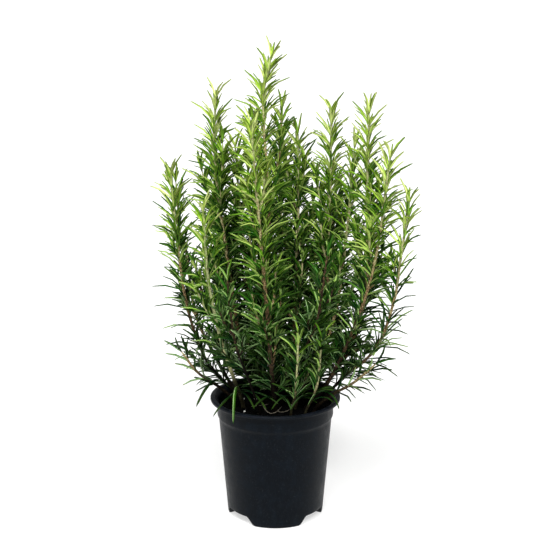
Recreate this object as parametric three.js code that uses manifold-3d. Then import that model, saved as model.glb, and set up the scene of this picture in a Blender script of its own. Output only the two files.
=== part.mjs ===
// Rosemary in a nursery pot: leafy stems, the soil they stand in, and the pot.
// Millimetres, +Z up. The origin is on the ground under the middle of the pot, and -Y is the front.
import * as THREE from "three";
import { mergeVertices } from "three/addons/utils/BufferGeometryUtils.js";
import Module from "manifold-3d";

const wasm = await Module();
wasm.setup();

// Pot: a flat flange at the top, a collar below it, a tapered body and three feet.
const rimRadius = 65;
const potHeight = 123;
const flangeThickness = 3;
const flangeWidth = 4.7;
const collarRadius = 58;
const collarHeight = 16;
const bodyTopRadius = 55.6;
const bodyBottomRadius = 48.2;
const wall = 1.3;
const edgeRound = 0.7;
const footHeight = 9;
const archWidth = 50;
const archTopWidth = 34;
const archFoot = 0.5;
const archAngles = [90, 210, 330];
const middleRadius = 27;
const drainRadius = 5;
const drainDistance = 33;
const drainSides = 12;
const potSegments = 36;
const cutBeyond = 5;

// Soil: its top lies under the rim and is slightly uneven.
const soilTop = 112.5;
const soilMound = 2.2;
const groundSegments = 16;
const gap = 0.3;

// Stems: square, woody at the root, thin at the tip.
const rootDepth = 26;
const rootRadius = 1.9;
const stemTipRadius = 1.1;
const sideShootRadius = 1.2;
const squareCorner = 1.2;
const stemStep = 24;
const stemTwist = 0.5;
const budLength = 3;
const holeClearance = 0.45;
const sideReach = 0.42;
const bareSideShare = 0.3;

// Needles: true length and width, fewer than on the living plant, four at each joint of the stem.
const needleSpacing = 16;
const sideNeedleSpacing = 14;
const needleBase = 3;
const needleHalfWidth = 1.15;
const needleHalfThickness = 0.5;
const lowNeedleLength = 27;
const tipNeedleLength = 17;
const secondPairLength = 0.8;
const ageLength = 75;
const bentFromAge = 0.86;
const clearance = 0.4;
const potMargin = 2;
const crownHalfWidth = 127;
const crownHalfDepth = 98;

// What a needle tries, in turn, to keep clear of its neighbours: turn, bend and share of its length.
const tries = [];
for (const scale of [1, 0.85, 0.7, 0.55]) {
  for (const turn of [0, 12, -12, 24, -24, 38, -38]) {
    for (const bend of [0, -16, 16]) tries.push([turn, bend, scale]);
  }
}

const degree = Math.PI / 180;
const leafGreen = 0x4b7a2c;
const tipGreen = 0x7fa43c;

// The stems by name. A path starts at the soil; x to the right, y to the back, z up.
// leafFrom is the height of the lowest needles, and side lists the side shoots:
// height on the stem, compass angle (0 is +X, 90 is +Y) and length.
const stems = {
  tall_centre: {
    path: [[-3, 5], [-4, 6, 140], [-7, 6, 220], [-6, 5, 303], [-9, 6, 400], [-3, 6, 458]],
    leafFrom: 150,
    side: [[315, 62, 112, 30], [255, 200, 52], [200, 20, 48], [370, 160, 42]],
  },
  front_centre: {
    path: [[0, -26], [-3, -28, 150], [-8, -35, 222], [-15, -47, 310], [-22, -60, 402]],
    leafFrom: 130,
    side: [[185, 0, 48], [240, 190, 46], [300, 330, 42]],
  },
  left_tall: {
    path: [[-21, 26], [-32, 28, 150], [-42, 31, 220], [-53, 34, 320], [-58, 37, 416]],
    leafFrom: 142,
    side: [[325, 340, 88, 13], [210, 200, 48]],
  },
  left_outer: {
    path: [[-38, 14], [-54, 17, 134], [-72, 20, 158], [-88, 26, 205], [-97, 34, 262], [-104, 42, 342]],
    leafFrom: 138,
    side: [[262, 50, 78, 9], [165, 190, 46]],
  },
  left_front: {
    path: [[-32, -10], [-41, -13, 145], [-54, -19, 190], [-64, -30, 250], [-67, -44, 318]],
    leafFrom: 152,
    side: [[205, 200, 38]],
  },
  left_small: {
    path: [[-10, 42], [-22, 47, 180], [-34, 54, 280], [-40, 60, 364]],
    leafFrom: 150,
    side: [[260, 110, 46]],
  },
  back_right_thin: {
    path: [[14, 28], [20, 33, 180], [25, 41, 290], [24, 46, 380]],
    leafFrom: 148,
    side: [[300, 340, 50]],
  },
  right_inner: {
    path: [[30, 24], [42, 25, 145], [52, 28, 225], [53, 31, 320], [54, 34, 402]],
    leafFrom: 142,
    side: [[250, 230, 50], [310, 60, 42]],
  },
  right_tall: {
    path: [[35, -3], [52, -3, 138], [76, -4, 178], [90, -5, 240], [89, -10, 330], [88, -17, 408]],
    leafFrom: 144,
    side: [[250, 150, 44], [300, 340, 42]],
  },
  right_middle: {
    path: [[23, 10], [40, 12, 140], [60, 15, 205], [70, 18, 290], [75, 20, 374]],
    leafFrom: 146,
    side: [[225, 250, 44]],
  },
  right_front: {
    path: [[30, -17], [50, -20, 140], [76, -26, 200], [95, -34, 270], [106, -46, 370]],
    leafFrom: 146,
    side: [[290, 20, 40]],
  },
  right_outer: {
    path: [[43, -12], [62, -15, 141], [96, -20, 178], [111, -29, 228], [118, -38, 275], [120, -46, 330]],
    leafFrom: 140,
    side: [[185, 300, 40]],
  },
  right_low: {
    path: [[38, -27], [55, -29, 133], [76, -30, 146], [98, -31, 166]],
    leafFrom: 128,
    side: [],
  },
  front_small: {
    path: [[15, -40], [20, -47, 148], [22, -60, 206]],
    leafFrom: 122,
    side: [],
  },
  front_right_small: {
    path: [[29, -37], [40, -46, 148], [44, -62, 202]],
    leafFrom: 124,
    side: [],
  },
  middle_right_small: {
    path: [[20, -15], [34, -20, 160], [42, -29, 222]],
    leafFrom: 140,
    side: [],
  },
  back_centre: {
    path: [[3, 45], [5, 56, 170], [6, 74, 270], [4, 88, 376]],
    leafFrom: 140,
    side: [[205, 60, 50], [260, 130, 46]],
  },
  back_right: {
    path: [[22, 41], [36, 54, 160], [56, 72, 250], [64, 80, 346]],
    leafFrom: 140,
    side: [[200, 20, 48], [260, 340, 42]],
  },
  back_left: {
    path: [[-25, 41], [-38, 54, 160], [-56, 72, 245], [-62, 80, 338]],
    leafFrom: 140,
    side: [[200, 160, 48], [255, 80, 44]],
  },
  right_back: {
    path: [[44, 10], [62, 24, 145], [88, 44, 200], [99, 54, 276]],
    leafFrom: 134,
    side: [[195, 60, 42]],
  },
  left_back: {
    path: [[-41, 26], [-58, 36, 145], [-82, 50, 195], [-92, 56, 270]],
    leafFrom: 134,
    side: [[190, 130, 42]],
  },
  front_left: {
    path: [[-15, -34], [-24, -46, 150], [-38, -66, 200], [-44, -78, 262]],
    leafFrom: 130,
    side: [[185, 200, 40]],
  },
  front_right: {
    path: [[6, -10], [18, -30, 160], [38, -62, 215], [48, -78, 285]],
    leafFrom: 146,
    side: [[225, 330, 40]],
  },
  left_low: {
    path: [[-42, 3], [-58, 3, 132], [-78, 4, 146], [-94, 4, 168]],
    leafFrom: 126,
    side: [],
  },
};

// A closed three.js geometry as a solid that can be joined and cut.
function toSolid(geometry) {
  const bare = geometry.index ? geometry.toNonIndexed() : geometry.clone();
  bare.deleteAttribute("normal");
  bare.deleteAttribute("uv");
  const merged = mergeVertices(bare, 1e-4);
  const corners = merged.index.array;
  const kept = [];
  for (let i = 0; i < corners.length; i += 3) {
    const [a, b, c] = corners.slice(i, i + 3);
    if (a !== b && b !== c && c !== a) kept.push(a, b, c);
  }
  return new wasm.Manifold(
    new wasm.Mesh({
      numProp: 3,
      vertProperties: new Float32Array(merged.attributes.position.array),
      triVerts: new Uint32Array(kept),
    }),
  );
}

// The one whole body in a solid, with sealed hollows filled and loose scraps dropped.
function wholeBody(solid) {
  return solid.decompose().reduce((best, body) => (body.volume() > best.volume() ? body : best));
}

// A solid as a mesh of the scene.
function toMesh(name, solid, material) {
  const made = solid.getMesh();
  const geometry = new THREE.BufferGeometry();
  geometry.setAttribute("position", new THREE.BufferAttribute(made.vertProperties, 3));
  geometry.setIndex(new THREE.BufferAttribute(made.triVerts, 1));
  geometry.computeVertexNormals();
  const mesh = new THREE.Mesh(geometry, material);
  mesh.name = name;
  return mesh;
}

// A body turned about the Z axis, from an outline of [radius, height] points.
function turned(points, segments = potSegments) {
  const outline = points.map(([radius, height]) => new THREE.Vector2(radius, height));
  return toSolid(new THREE.LatheGeometry(outline, segments).rotateX(Math.PI / 2));
}

// The raised part of the pot's bottom: a round middle and three arches out to the wall.
function bottomRecess(grow) {
  const height = footHeight + grow;
  const radius = middleRadius + grow;
  const low = archWidth / 2 + grow;
  const high = archTopWidth / 2 + grow;
  const arch = new THREE.Shape();
  arch.moveTo(-low, -cutBeyond);
  arch.lineTo(low, -cutBeyond);
  arch.lineTo(low, archFoot);
  arch.lineTo(high, height);
  arch.lineTo(-high, height);
  arch.lineTo(-low, archFoot);
  let recess = turned([[0, -cutBeyond], [radius, -cutBeyond], [radius, height], [0, height]]);
  for (const angle of archAngles) {
    const tunnel = new THREE.ExtrudeGeometry(arch, { depth: rimRadius, bevelEnabled: false })
      .rotateX(Math.PI / 2)
      .rotateZ((angle + 90) * degree);
    recess = recess.add(toSolid(tunnel));
  }
  return recess;
}

// What the pot holds: its hollow, drawn in by inset and filled up to a height.
function potHollow(inset, top) {
  const side = wall + inset;
  const collarFoot = potHeight - flangeThickness - collarHeight;
  const points = [[0, wall + inset], [bodyBottomRadius - side, wall + inset]];
  points.push([bodyTopRadius - side, collarFoot - wall]);
  points.push([collarRadius - side, collarFoot + 0.6]);
  if (top > potHeight - flangeThickness) {
    points.push([collarRadius - side, potHeight - flangeThickness - 1]);
    points.push([rimRadius - flangeWidth, potHeight - 0.4]);
    points.push([rimRadius - flangeWidth, top]);
  } else {
    points.push([collarRadius - side, top]);
  }
  points.push([0, top]);
  return turned(points).subtract(bottomRecess(wall + inset));
}

function makePot() {
  const under = potHeight - flangeThickness;
  const collarFoot = under - collarHeight;
  let pot = turned([
    [0, 0],
    [bodyBottomRadius - 1.6, 0],
    [bodyBottomRadius, 2.4],
    [bodyTopRadius, collarFoot - 0.8],
    [collarRadius - 0.5, collarFoot],
    [collarRadius, under],
    [rimRadius - edgeRound, under],
    [rimRadius, under + edgeRound],
    [rimRadius, potHeight - edgeRound],
    [rimRadius - edgeRound, potHeight],
    [0, potHeight],
  ]);
  pot = pot.subtract(bottomRecess(0)).subtract(potHollow(0, potHeight + cutBeyond));
  const drainTop = footHeight + cutBeyond;
  const drain = turned([[0, 0], [drainRadius, 0], [drainRadius, drainTop], [0, drainTop]], drainSides);
  for (const angle of archAngles) {
    const x = drainDistance * Math.cos(angle * degree);
    const y = drainDistance * Math.sin(angle * degree);
    pot = pot.subtract(drain.translate([x, y, 0]));
  }
  return pot;
}

// A repeatable draw between -1 and 1.
function draw(seed) {
  const value = Math.sin(seed * 12.9898 + 4.1414) * 43758.5453;
  return 2 * (value - Math.floor(value)) - 1;
}

// A direction in the plane of two others, turned from the first by an angle in degrees.
function turnedIn(across, along, angle) {
  return across
    .clone()
    .multiplyScalar(Math.cos(angle * degree))
    .addScaledVector(along, Math.sin(angle * degree));
}

// Two directions square to a tangent, the first one as near as can be to a reference.
function squareTo(tangent, reference) {
  const across = reference.clone().addScaledVector(tangent, -reference.dot(tangent)).normalize();
  return [across, new THREE.Vector3().crossVectors(tangent, across)];
}

// A shoot: its centre line, length and radii, and the level direction that its corners are set by.
function shootAlong(curve, startRadius, endRadius) {
  const start = curve.getPointAt(0);
  const end = curve.getPointAt(1);
  const reference = new THREE.Vector3(start.y - end.y, end.x - start.x, 0).normalize();
  return { curve, length: curve.getLength(), startRadius, endRadius, reference };
}

// The square section of a shoot at a distance along it, made larger by grow.
function stationAt(shoot, distance, grow = 0) {
  const share = THREE.MathUtils.clamp(distance / shoot.length, 0, 1);
  const centre = shoot.curve.getPointAt(share);
  const upward = shoot.curve.getTangentAt(share);
  const [across, along] = squareTo(upward, shoot.reference);
  const radius = shoot.startRadius + (shoot.endRadius - shoot.startRadius) * share + grow;
  const twist = distance * stemTwist;
  const corners = [-45, 45, 135, 225].map((angle) =>
    centre.clone().addScaledVector(turnedIn(across, along, twist + angle), radius * squareCorner),
  );
  return { centre, upward, across, along, radius, twist, corners };
}

// The centre line of a stem, from its root in the soil to the bud at its tip.
function stemCurve(path) {
  const [[x, y], ...above] = path;
  const points = [new THREE.Vector3(x, y, soilTop - rootDepth), new THREE.Vector3(x, y, soilTop + 3)];
  for (const point of above) points.push(new THREE.Vector3(...point));
  return new THREE.CatmullRomCurve3(points, false, "catmullrom", 0.5);
}

// The share of a curve's length at which it reaches a height.
function shareAtHeight(curve, height) {
  let low = 0;
  let high = 1;
  while (high - low > 1e-4) {
    const middle = (low + high) / 2;
    if (curve.getPointAt(middle).z < height) low = middle;
    else high = middle;
  }
  return low;
}

// A side shoot leaves the stem sideways and turns up beside it.
function sideCurve(stem, [height, compass, length, reach = length * sideReach]) {
  const share = shareAtHeight(stem, height);
  const start = stem.getPointAt(share);
  const upward = stem.getTangentAt(share);
  const outward = new THREE.Vector3(Math.cos(compass * degree), Math.sin(compass * degree), 0);
  const bend = start.clone().addScaledVector(outward, reach * 0.8).addScaledVector(upward, length * 0.3);
  const end = start.clone().addScaledVector(outward, reach).addScaledVector(upward, length * 0.9);
  return new THREE.QuadraticBezierCurve3(start, bend, end);
}

// Distances of the plain stations below the needles.
function plainDistances(bare) {
  const count = Math.max(1, Math.round(bare / stemStep));
  return Array.from({ length: count + 1 }, (_, i) => (bare * i) / count);
}

// A closed body through square sections. Needles stand on the faces between a low and a high section.
function squareBody(sections, whorls, tip) {
  const points = sections.flatMap(({ corners }) => corners);
  const faces = [];
  for (let low = 0; low + 1 < sections.length; low += 1) {
    for (let side = 0; side < 4; side += 1) {
      const next = (side + 1) % 4;
      const loop = [low * 4 + side, low * 4 + next, low * 4 + 4 + next, low * 4 + 4 + side];
      const needle = whorls.get(low)?.[side];
      if (needle) addNeedle(points, faces, loop, needle);
      else faces.push(loop[0], loop[1], loop[2], loop[0], loop[2], loop[3]);
    }
  }
  faces.push(0, 2, 1, 0, 3, 2);
  const last = sections.length * 4 - 4;
  points.push(tip);
  const top = points.length - 1;
  for (let side = 0; side < 4; side += 1) faces.push(last + side, last + ((side + 1) % 4), top);
  const geometry = new THREE.BufferGeometry().setFromPoints(points);
  geometry.setIndex(faces);
  return toSolid(geometry);
}

// A needle from a loop of four points to its tip, by way of its middle if it is bent.
function addNeedle(points, faces, loop, { line, across, isBent }) {
  const [root, middle, end] = line;
  let from = loop;
  if (isBent) {
    const direction = end.clone().sub(root).normalize();
    const face = new THREE.Vector3().crossVectors(direction, across).normalize();
    from = [[-1, -1], [1, -1], [1, 1], [-1, 1]].map(([wide, thick]) => {
      points.push(
        middle
          .clone()
          .addScaledVector(across, wide * needleHalfWidth)
          .addScaledVector(face, thick * needleHalfThickness),
      );
      return points.length - 1;
    });
    for (let i = 0; i < 4; i += 1) {
      const next = (i + 1) % 4;
      faces.push(loop[i], loop[next], from[next], loop[i], from[next], from[i]);
    }
  }
  points.push(end);
  const tip = points.length - 1;
  for (let i = 0; i < 4; i += 1) faces.push(from[i], from[(i + 1) % 4], tip);
}

// The stretches that a shoot's stem takes up, for telling what would touch it.
function stemStretches(shoot, node, number) {
  const count = Math.ceil(shoot.length / stemStep);
  const stations = Array.from({ length: count + 1 }, (_, i) => stationAt(shoot, (shoot.length * i) / count));
  return stations.slice(1).map((station, i) => ({
    node,
    shoot: number,
    from: stations[i].centre,
    to: station.centre,
    radius: station.radius * squareCorner,
  }));
}

// A needle's centre line: its root on the stem's face, its middle and its tip.
function needleLine(root, upward, outward, startLean, endLean, length) {
  const points = [root];
  for (const share of [0.25, 0.75]) {
    const lean = startLean + (endLean - startLean) * share;
    points.push(
      points[points.length - 1]
        .clone()
        .addScaledVector(upward, (length / 2) * Math.cos(lean))
        .addScaledVector(outward, (length / 2) * Math.sin(lean)),
    );
  }
  return points;
}

// The least distance between two straight stretches.
function distanceBetween(a, b) {
  const alongA = a.to.clone().sub(a.from);
  const alongB = b.to.clone().sub(b.from);
  const between = a.from.clone().sub(b.from);
  const aa = alongA.dot(alongA);
  const bb = alongB.dot(alongB);
  const ab = alongA.dot(alongB);
  const ac = alongA.dot(between);
  const bc = alongB.dot(between);
  const square = aa * bb - ab * ab;
  let shareA = square > 1e-9 ? THREE.MathUtils.clamp((ab * bc - ac * bb) / square, 0, 1) : 0;
  const shareB = THREE.MathUtils.clamp((ab * shareA + bc) / bb, 0, 1);
  shareA = THREE.MathUtils.clamp((ab * shareB - ac) / aa, 0, 1);
  const onA = a.from.clone().addScaledVector(alongA, shareA);
  const onB = b.from.clone().addScaledVector(alongB, shareB);
  return onA.distanceTo(onB);
}

// Whether a stretch keeps clear of other nodes and of the rest of its own shoot.
// A needle may cross only what is fused to it: other shoots of its node, and its root's own joint.
function isClear(stretch, taken) {
  const middle = stretch.from.clone().add(stretch.to).multiplyScalar(0.5);
  const half = stretch.from.distanceTo(stretch.to) / 2;
  return taken.every((other) => {
    if (other.node === stretch.node && other.shoot !== stretch.shoot) return true;
    if (other.shoot === stretch.shoot && (other.joint === stretch.joint || !stretch.isOuter)) return true;
    const room = stretch.radius + other.radius + clearance;
    const otherMiddle = other.from.clone().add(other.to).multiplyScalar(0.5);
    const otherHalf = other.from.distanceTo(other.to) / 2;
    if (middle.distanceTo(otherMiddle) > half + otherHalf + room) return true;
    return distanceBetween(stretch, other) > room;
  });
}

// Whether a point lies in the soil, in the pot's wall or too near to them.
function isNearPot(point) {
  const reach = Math.hypot(point.x, point.y);
  if (point.z > potHeight + potMargin || reach > rimRadius + potMargin) return false;
  return reach > collarRadius - wall - potMargin || point.z < soilTop + soilMound + potMargin;
}

// Whether a point lies outside the crown of the plant.
function isOutsideCrown(point) {
  return Math.abs(point.x) > crownHalfWidth || Math.abs(point.y) > crownHalfDepth;
}

// A needle that keeps clear of its neighbours, or nothing if there is no room for it.
function growNeedle(station, side, age, number, place, taken) {
  const { centre, upward, across, along, radius, twist } = station;
  const startLean = 22 + 30 * age + 4 * draw(number);
  const endLean = 26 + 60 * age + 8 * draw(number + 0.3);
  const fullLength = tipNeedleLength + (lowNeedleLength - tipNeedleLength) * age + 1.5 * draw(number + 0.6);
  const facing = twist + side * 90;
  const root = centre.clone().addScaledVector(turnedIn(across, along, facing), radius * squareCorner * 0.7);
  for (const [turn, bend, scale] of tries) {
    const outward = turnedIn(across, along, facing + turn + 8 * draw(number + 0.8));
    const length = fullLength * scale * (side % 2 ? secondPairLength : 1);
    const line = needleLine(root, upward, outward, startLean * degree, (endLean + bend) * degree, length);
    const stretches = [
      { ...place, from: line[0], to: line[1], radius: needleHalfWidth, isOuter: false },
      { ...place, from: line[1], to: line[2], radius: needleHalfWidth, isOuter: true },
    ];
    const points = [line[1], line[2], line[1].clone().lerp(line[2], 0.5)];
    if (points.some((point) => isNearPot(point) || isOutsideCrown(point))) continue;
    if (!stretches.every((stretch) => isClear(stretch, taken))) continue;
    taken.push(...stretches);
    const wide = new THREE.Vector3().crossVectors(upward, outward).normalize();
    return { line, across: wide, isBent: age > bentFromAge };
  }
  return null;
}

// A shoot with its needles: four at each joint, more upright and shorter towards the tip.
function leafyShoot(shoot, bare, spacing, node, number, taken) {
  const sections = plainDistances(bare).map((distance) => stationAt(shoot, distance));
  const joints = Math.max(1, Math.round((shoot.length - bare) / spacing));
  const whorls = new Map();
  for (let joint = 1; joint <= joints; joint += 1) {
    const distance = bare + ((shoot.length - bare) * joint) / joints - needleBase / 2;
    const age = 1 - Math.exp((distance - shoot.length) / ageLength);
    const station = stationAt(shoot, distance);
    const needles = [0, 1, 2, 3].map((side) =>
      growNeedle(station, side, age, number * 997 + joint * 4 + side, { node, shoot: number, joint }, taken),
    );
    whorls.set(sections.length, needles);
    sections.push(stationAt(shoot, distance - needleBase / 2), stationAt(shoot, distance + needleBase / 2));
  }
  const end = stationAt(shoot, shoot.length);
  return squareBody(sections, whorls, end.centre.clone().addScaledVector(end.upward, budLength));
}

function makeSoil(roots) {
  const outline = [new THREE.Vector2(0, 0), new THREE.Vector2(rimRadius, 0)];
  for (const share of [1, 0.65, 0.35, 0]) outline.push(new THREE.Vector2(rimRadius * share, soilTop));
  const ground = new THREE.LatheGeometry(outline, groundSegments).rotateX(Math.PI / 2);
  const places = ground.getAttribute("position");
  for (let i = 0; i < places.count; i += 1) {
    if (places.getZ(i) < soilTop - 1) continue;
    const x = places.getX(i);
    const y = places.getY(i);
    places.setZ(i, soilTop + (soilMound / 2) * (Math.sin(x * 0.13 + 1) + Math.cos(y * 0.16 + x * 0.05)));
  }
  let soil = potHollow(gap, soilTop + cutBeyond).intersect(toSolid(ground));
  for (const { shoot, bare } of roots) {
    const sections = plainDistances(bare).map((distance) => stationAt(shoot, distance, holeClearance));
    for (const corner of sections[0].corners) corner.z -= holeClearance;
    soil = soil.subtract(squareBody(sections, new Map(), stationAt(shoot, bare + budLength).centre));
  }
  return soil;
}

function makePlant() {
  const plant = new THREE.Group();
  const names = Object.keys(stems);
  const taken = [];
  const grown = names.map((name, index) => {
    const { path, leafFrom, side } = stems[name];
    const curve = stemCurve(path);
    const main = shootAlong(curve, rootRadius, stemTipRadius);
    const bare = main.length * shareAtHeight(curve, leafFrom);
    const sides = side.map((place) => shootAlong(sideCurve(curve, place), sideShootRadius, stemTipRadius));
    [main, ...sides].forEach((shoot, number) => {
      taken.push(...stemStretches(shoot, name, index * 10 + number));
    });
    return { shoot: main, bare, sides };
  });
  names.forEach((name, index) => {
    const { shoot, bare, sides } = grown[index];
    let solid = leafyShoot(shoot, bare, needleSpacing, name, index * 10, taken);
    sides.forEach((branch, place) => {
      const foot = branch.length * bareSideShare;
      solid = solid.add(leafyShoot(branch, foot, sideNeedleSpacing, name, index * 10 + 1 + place, taken));
    });
    const young = THREE.MathUtils.clamp((shoot.length - 60) / 380, 0, 1);
    const material = new THREE.MeshStandardMaterial({
      color: new THREE.Color(leafGreen).lerp(new THREE.Color(tipGreen), young),
      roughness: 0.55,
      metalness: 0,
    });
    plant.add(toMesh(`stem_${name}`, wholeBody(solid), material));
  });
  const soilFinish = new THREE.MeshStandardMaterial({ color: 0x16120e, roughness: 0.95, metalness: 0 });
  const potFinish = new THREE.MeshStandardMaterial({ color: 0x151c24, roughness: 0.45, metalness: 0 });
  plant.add(toMesh("soil", makeSoil(grown), soilFinish));
  plant.add(toMesh("pot", makePot(), potFinish));
  return plant;
}

const group = makePlant();
export default group;
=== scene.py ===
# Potted rosemary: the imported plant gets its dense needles, bark, crumbly soil and a moulded pot.
# Metres, +Z up, -Y is the front as photographed. Tables of sizes and paths are in millimetres.
import math
import random

import bmesh
import bpy
import numpy as np
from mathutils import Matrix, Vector, noise


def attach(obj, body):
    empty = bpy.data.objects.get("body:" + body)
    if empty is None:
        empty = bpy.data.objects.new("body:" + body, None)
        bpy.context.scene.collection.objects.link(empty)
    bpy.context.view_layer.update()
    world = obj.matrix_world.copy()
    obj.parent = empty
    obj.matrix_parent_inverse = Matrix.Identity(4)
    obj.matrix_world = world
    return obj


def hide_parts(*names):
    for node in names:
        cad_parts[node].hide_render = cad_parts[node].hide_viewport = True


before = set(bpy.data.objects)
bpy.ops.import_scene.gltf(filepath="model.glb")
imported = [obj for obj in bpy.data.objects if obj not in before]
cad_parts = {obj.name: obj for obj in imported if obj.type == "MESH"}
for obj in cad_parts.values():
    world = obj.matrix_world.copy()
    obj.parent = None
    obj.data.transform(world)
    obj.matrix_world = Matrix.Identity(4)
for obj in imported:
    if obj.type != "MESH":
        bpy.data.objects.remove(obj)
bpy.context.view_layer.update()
mm = 0.001
turn = math.tau

# The photographer stands 1.25 m in front and looks down at the plant.
cameraSpot = {
    "place": (0.0012, -1.250, 0.557),
    "lookDown": 13.99,
    "lens": 85.6,
    "filmWidth": 36,
    "nearest": 0.05,
    "farthest": 80,
}


def setCamera(spot):
    lens = bpy.data.cameras.new("photoCamera")
    lens.lens = spot["lens"]
    lens.sensor_width = spot["filmWidth"]
    lens.clip_start = spot["nearest"]
    lens.clip_end = spot["farthest"]
    camera = bpy.data.objects.new("photoCamera", lens)
    camera.location = spot["place"]
    camera.rotation_euler = (math.radians(90 - spot["lookDown"]), 0, 0)
    bpy.context.scene.collection.objects.link(camera)
    bpy.context.scene.camera = camera


setCamera(cameraSpot)


# Small helpers for node trees. A field is a value in a tree, and sums with it add the nodes they need.
class Field:
    def __init__(self, socket):
        self.socket = socket

    def __add__(self, other):
        return maths("ADD", self, other)

    def __sub__(self, other):
        return maths("SUBTRACT", self, other)

    def __rsub__(self, other):
        return maths("SUBTRACT", other, self)

    def __mul__(self, other):
        return maths("MULTIPLY", self, other)

    def __truediv__(self, other):
        return maths("DIVIDE", self, other)

    def __pow__(self, other):
        return maths("POWER", self, other)

    def __gt__(self, other):
        return maths("GREATER_THAN", self, other)

    def __lt__(self, other):
        return maths("LESS_THAN", self, other)

    def through(self, kind, inputs, **settings):
        return made(self.socket.id_data, kind, inputs, **settings)

    # Maps one range onto another: from low, from high, to low, to high.
    def spread(self, *limits):
        return self.through("ShaderNodeMapRange", dict(enumerate((self, *limits))))

    def scaled(self, amount):
        return self.through("ShaderNodeVectorMath", {0: self, "Scale": amount}, operation="SCALE")

    def parts(self):
        return [Field(part) for part in put(self.socket.id_data, "ShaderNodeSeparateXYZ", {0: self}).outputs]


# A socket gets a link or a plain value.
def feed(node, inputs):
    for name, value in inputs.items():
        socket = node.inputs[name]
        if isinstance(value, Field):
            value = value.socket
        if isinstance(value, bpy.types.NodeSocket):
            node.id_data.links.new(value, socket)
        elif socket.type == "RGBA" and len(value) == 3:
            socket.default_value = (*value, 1)
        else:
            socket.default_value = value


def put(tree, kind, inputs=None, **settings):
    node = tree.nodes.new(kind)
    for setting, value in settings.items():
        setattr(node, setting, value)
    feed(node, inputs or {})
    return node


def made(tree, kind, inputs=None, **settings):
    return Field(put(tree, kind, inputs, **settings).outputs[0])


def maths(operation, *values, kind="ShaderNodeMath"):
    tree = next(value.socket.id_data for value in values if isinstance(value, Field))
    return made(tree, kind, dict(enumerate(values)), operation=operation)


def vectors(operation, *values):
    return maths(operation, *values, kind="ShaderNodeVectorMath")


def sine(angle):
    return maths("SINE", angle)


def cosine(angle):
    return maths("COSINE", angle)


def summed(total, *others):
    for other in others:
        total = vectors("ADD", total, other)
    return total


def fromAxis(x, y):
    return maths("SQRT", x**2.0 + y**2.0)


def newGeometryTree(name, sizes):
    tree = bpy.data.node_groups.new(name, "GeometryNodeTree")
    tree.interface.new_socket("Geometry", in_out="INPUT", socket_type="NodeSocketGeometry")
    for label, kind in sizes.items():
        tree.interface.new_socket(label, in_out="INPUT", socket_type="NodeSocket" + kind)
    tree.interface.new_socket("Geometry", in_out="OUTPUT", socket_type="NodeSocketGeometry")
    return tree, {socket.name: Field(socket) for socket in put(tree, "NodeGroupInput").outputs}


def closeTree(tree, geometry, material):
    realized = made(tree, "GeometryNodeRealizeInstances", {"Geometry": geometry})
    painted = made(tree, "GeometryNodeSetMaterial", {"Geometry": realized, "Material": material})
    put(tree, "NodeGroupOutput", {0: painted})


def smoothed(tree, geometry):
    return made(tree, "GeometryNodeSetShadeSmooth", {"Geometry": geometry})


def without(geometry, selection):
    inputs = {"Geometry": geometry, "Selection": selection}
    return selection.through("GeometryNodeDeleteGeometry", inputs, domain="POINT")


def stored(geometry, name, value, kind="FLOAT"):
    inputs = {"Geometry": geometry, "Name": name, "Value": value}
    return value.through("GeometryNodeStoreNamedAttribute", inputs, data_type=kind, domain="POINT")


def named(tree, name, kind="FLOAT"):
    node = put(tree, "GeometryNodeInputNamedAttribute", {"Name": name}, data_type=kind)
    return Field(node.outputs["Attribute"])


def position(tree):
    return made(tree, "GeometryNodeInputPosition")


def index(tree):
    return made(tree, "GeometryNodeInputIndex")


# A random value for each point; the salt keeps one draw apart from the others.
def chance(seed, low, high, salt):
    tree = seed.socket.id_data
    inputs = {2: low, 3: high, "ID": index(tree), "Seed": seed + salt}
    return Field(put(tree, "FunctionNodeRandomValue", inputs, data_type="FLOAT").outputs[1])


# Runs a tree over an object once and keeps what comes out as a plain mesh.
def grown(source, tree, values, name):
    modifier = source.modifiers.new(tree.name, "NODES")
    modifier.node_group = tree
    for item in tree.interface.items_tree:
        if item.in_out == "INPUT" and item.name in values:
            modifier[item.identifier] = values[item.name]
    evaluated = source.evaluated_get(bpy.context.evaluated_depsgraph_get())
    mesh = bpy.data.meshes.new_from_object(evaluated)
    source.modifiers.remove(modifier)
    mesh.name = name
    return shown(mesh, name)


def shown(mesh, name):
    piece = bpy.data.objects.new(name, mesh)
    bpy.context.scene.collection.objects.link(piece)
    return piece


def dropped(*objects):
    for item in objects:
        bpy.data.objects.remove(item)


# Small helpers for materials.
def newMaterial(name):
    material = bpy.data.materials.new(name)
    material.use_nodes = True
    tree = material.node_tree
    return material, tree, tree.nodes["Principled BSDF"]


def objectPlace(tree):
    return Field(put(tree, "ShaderNodeTexCoord").outputs["Object"])


def noisePattern(tree, scale, detail, fineness=0.5):
    place = made(tree, "ShaderNodeMapping", {"Vector": objectPlace(tree), "Scale": scale})
    return made(tree, "ShaderNodeTexNoise", {"Vector": place, "Detail": detail, "Roughness": fineness})


def attribute(tree, name, output="Fac"):
    return Field(put(tree, "ShaderNodeAttribute", attribute_name=name).outputs[output])


def ramp(value, stops):
    node = put(value.socket.id_data, "ShaderNodeValToRGB", {"Fac": value})
    elements = node.color_ramp.elements
    while len(elements) < len(stops):
        elements.new(0.5)
    for element, (place, colour) in zip(elements, stops):
        element.position = place
        element.color = (*colour, 1)
    return Field(node.outputs["Color"])


def blended(tree, share, first, second, how="MIX"):
    inputs = {0: share, 6: first, 7: second}
    return Field(put(tree, "ShaderNodeMix", inputs, data_type="RGBA", blend_type=how).outputs[2])


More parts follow.
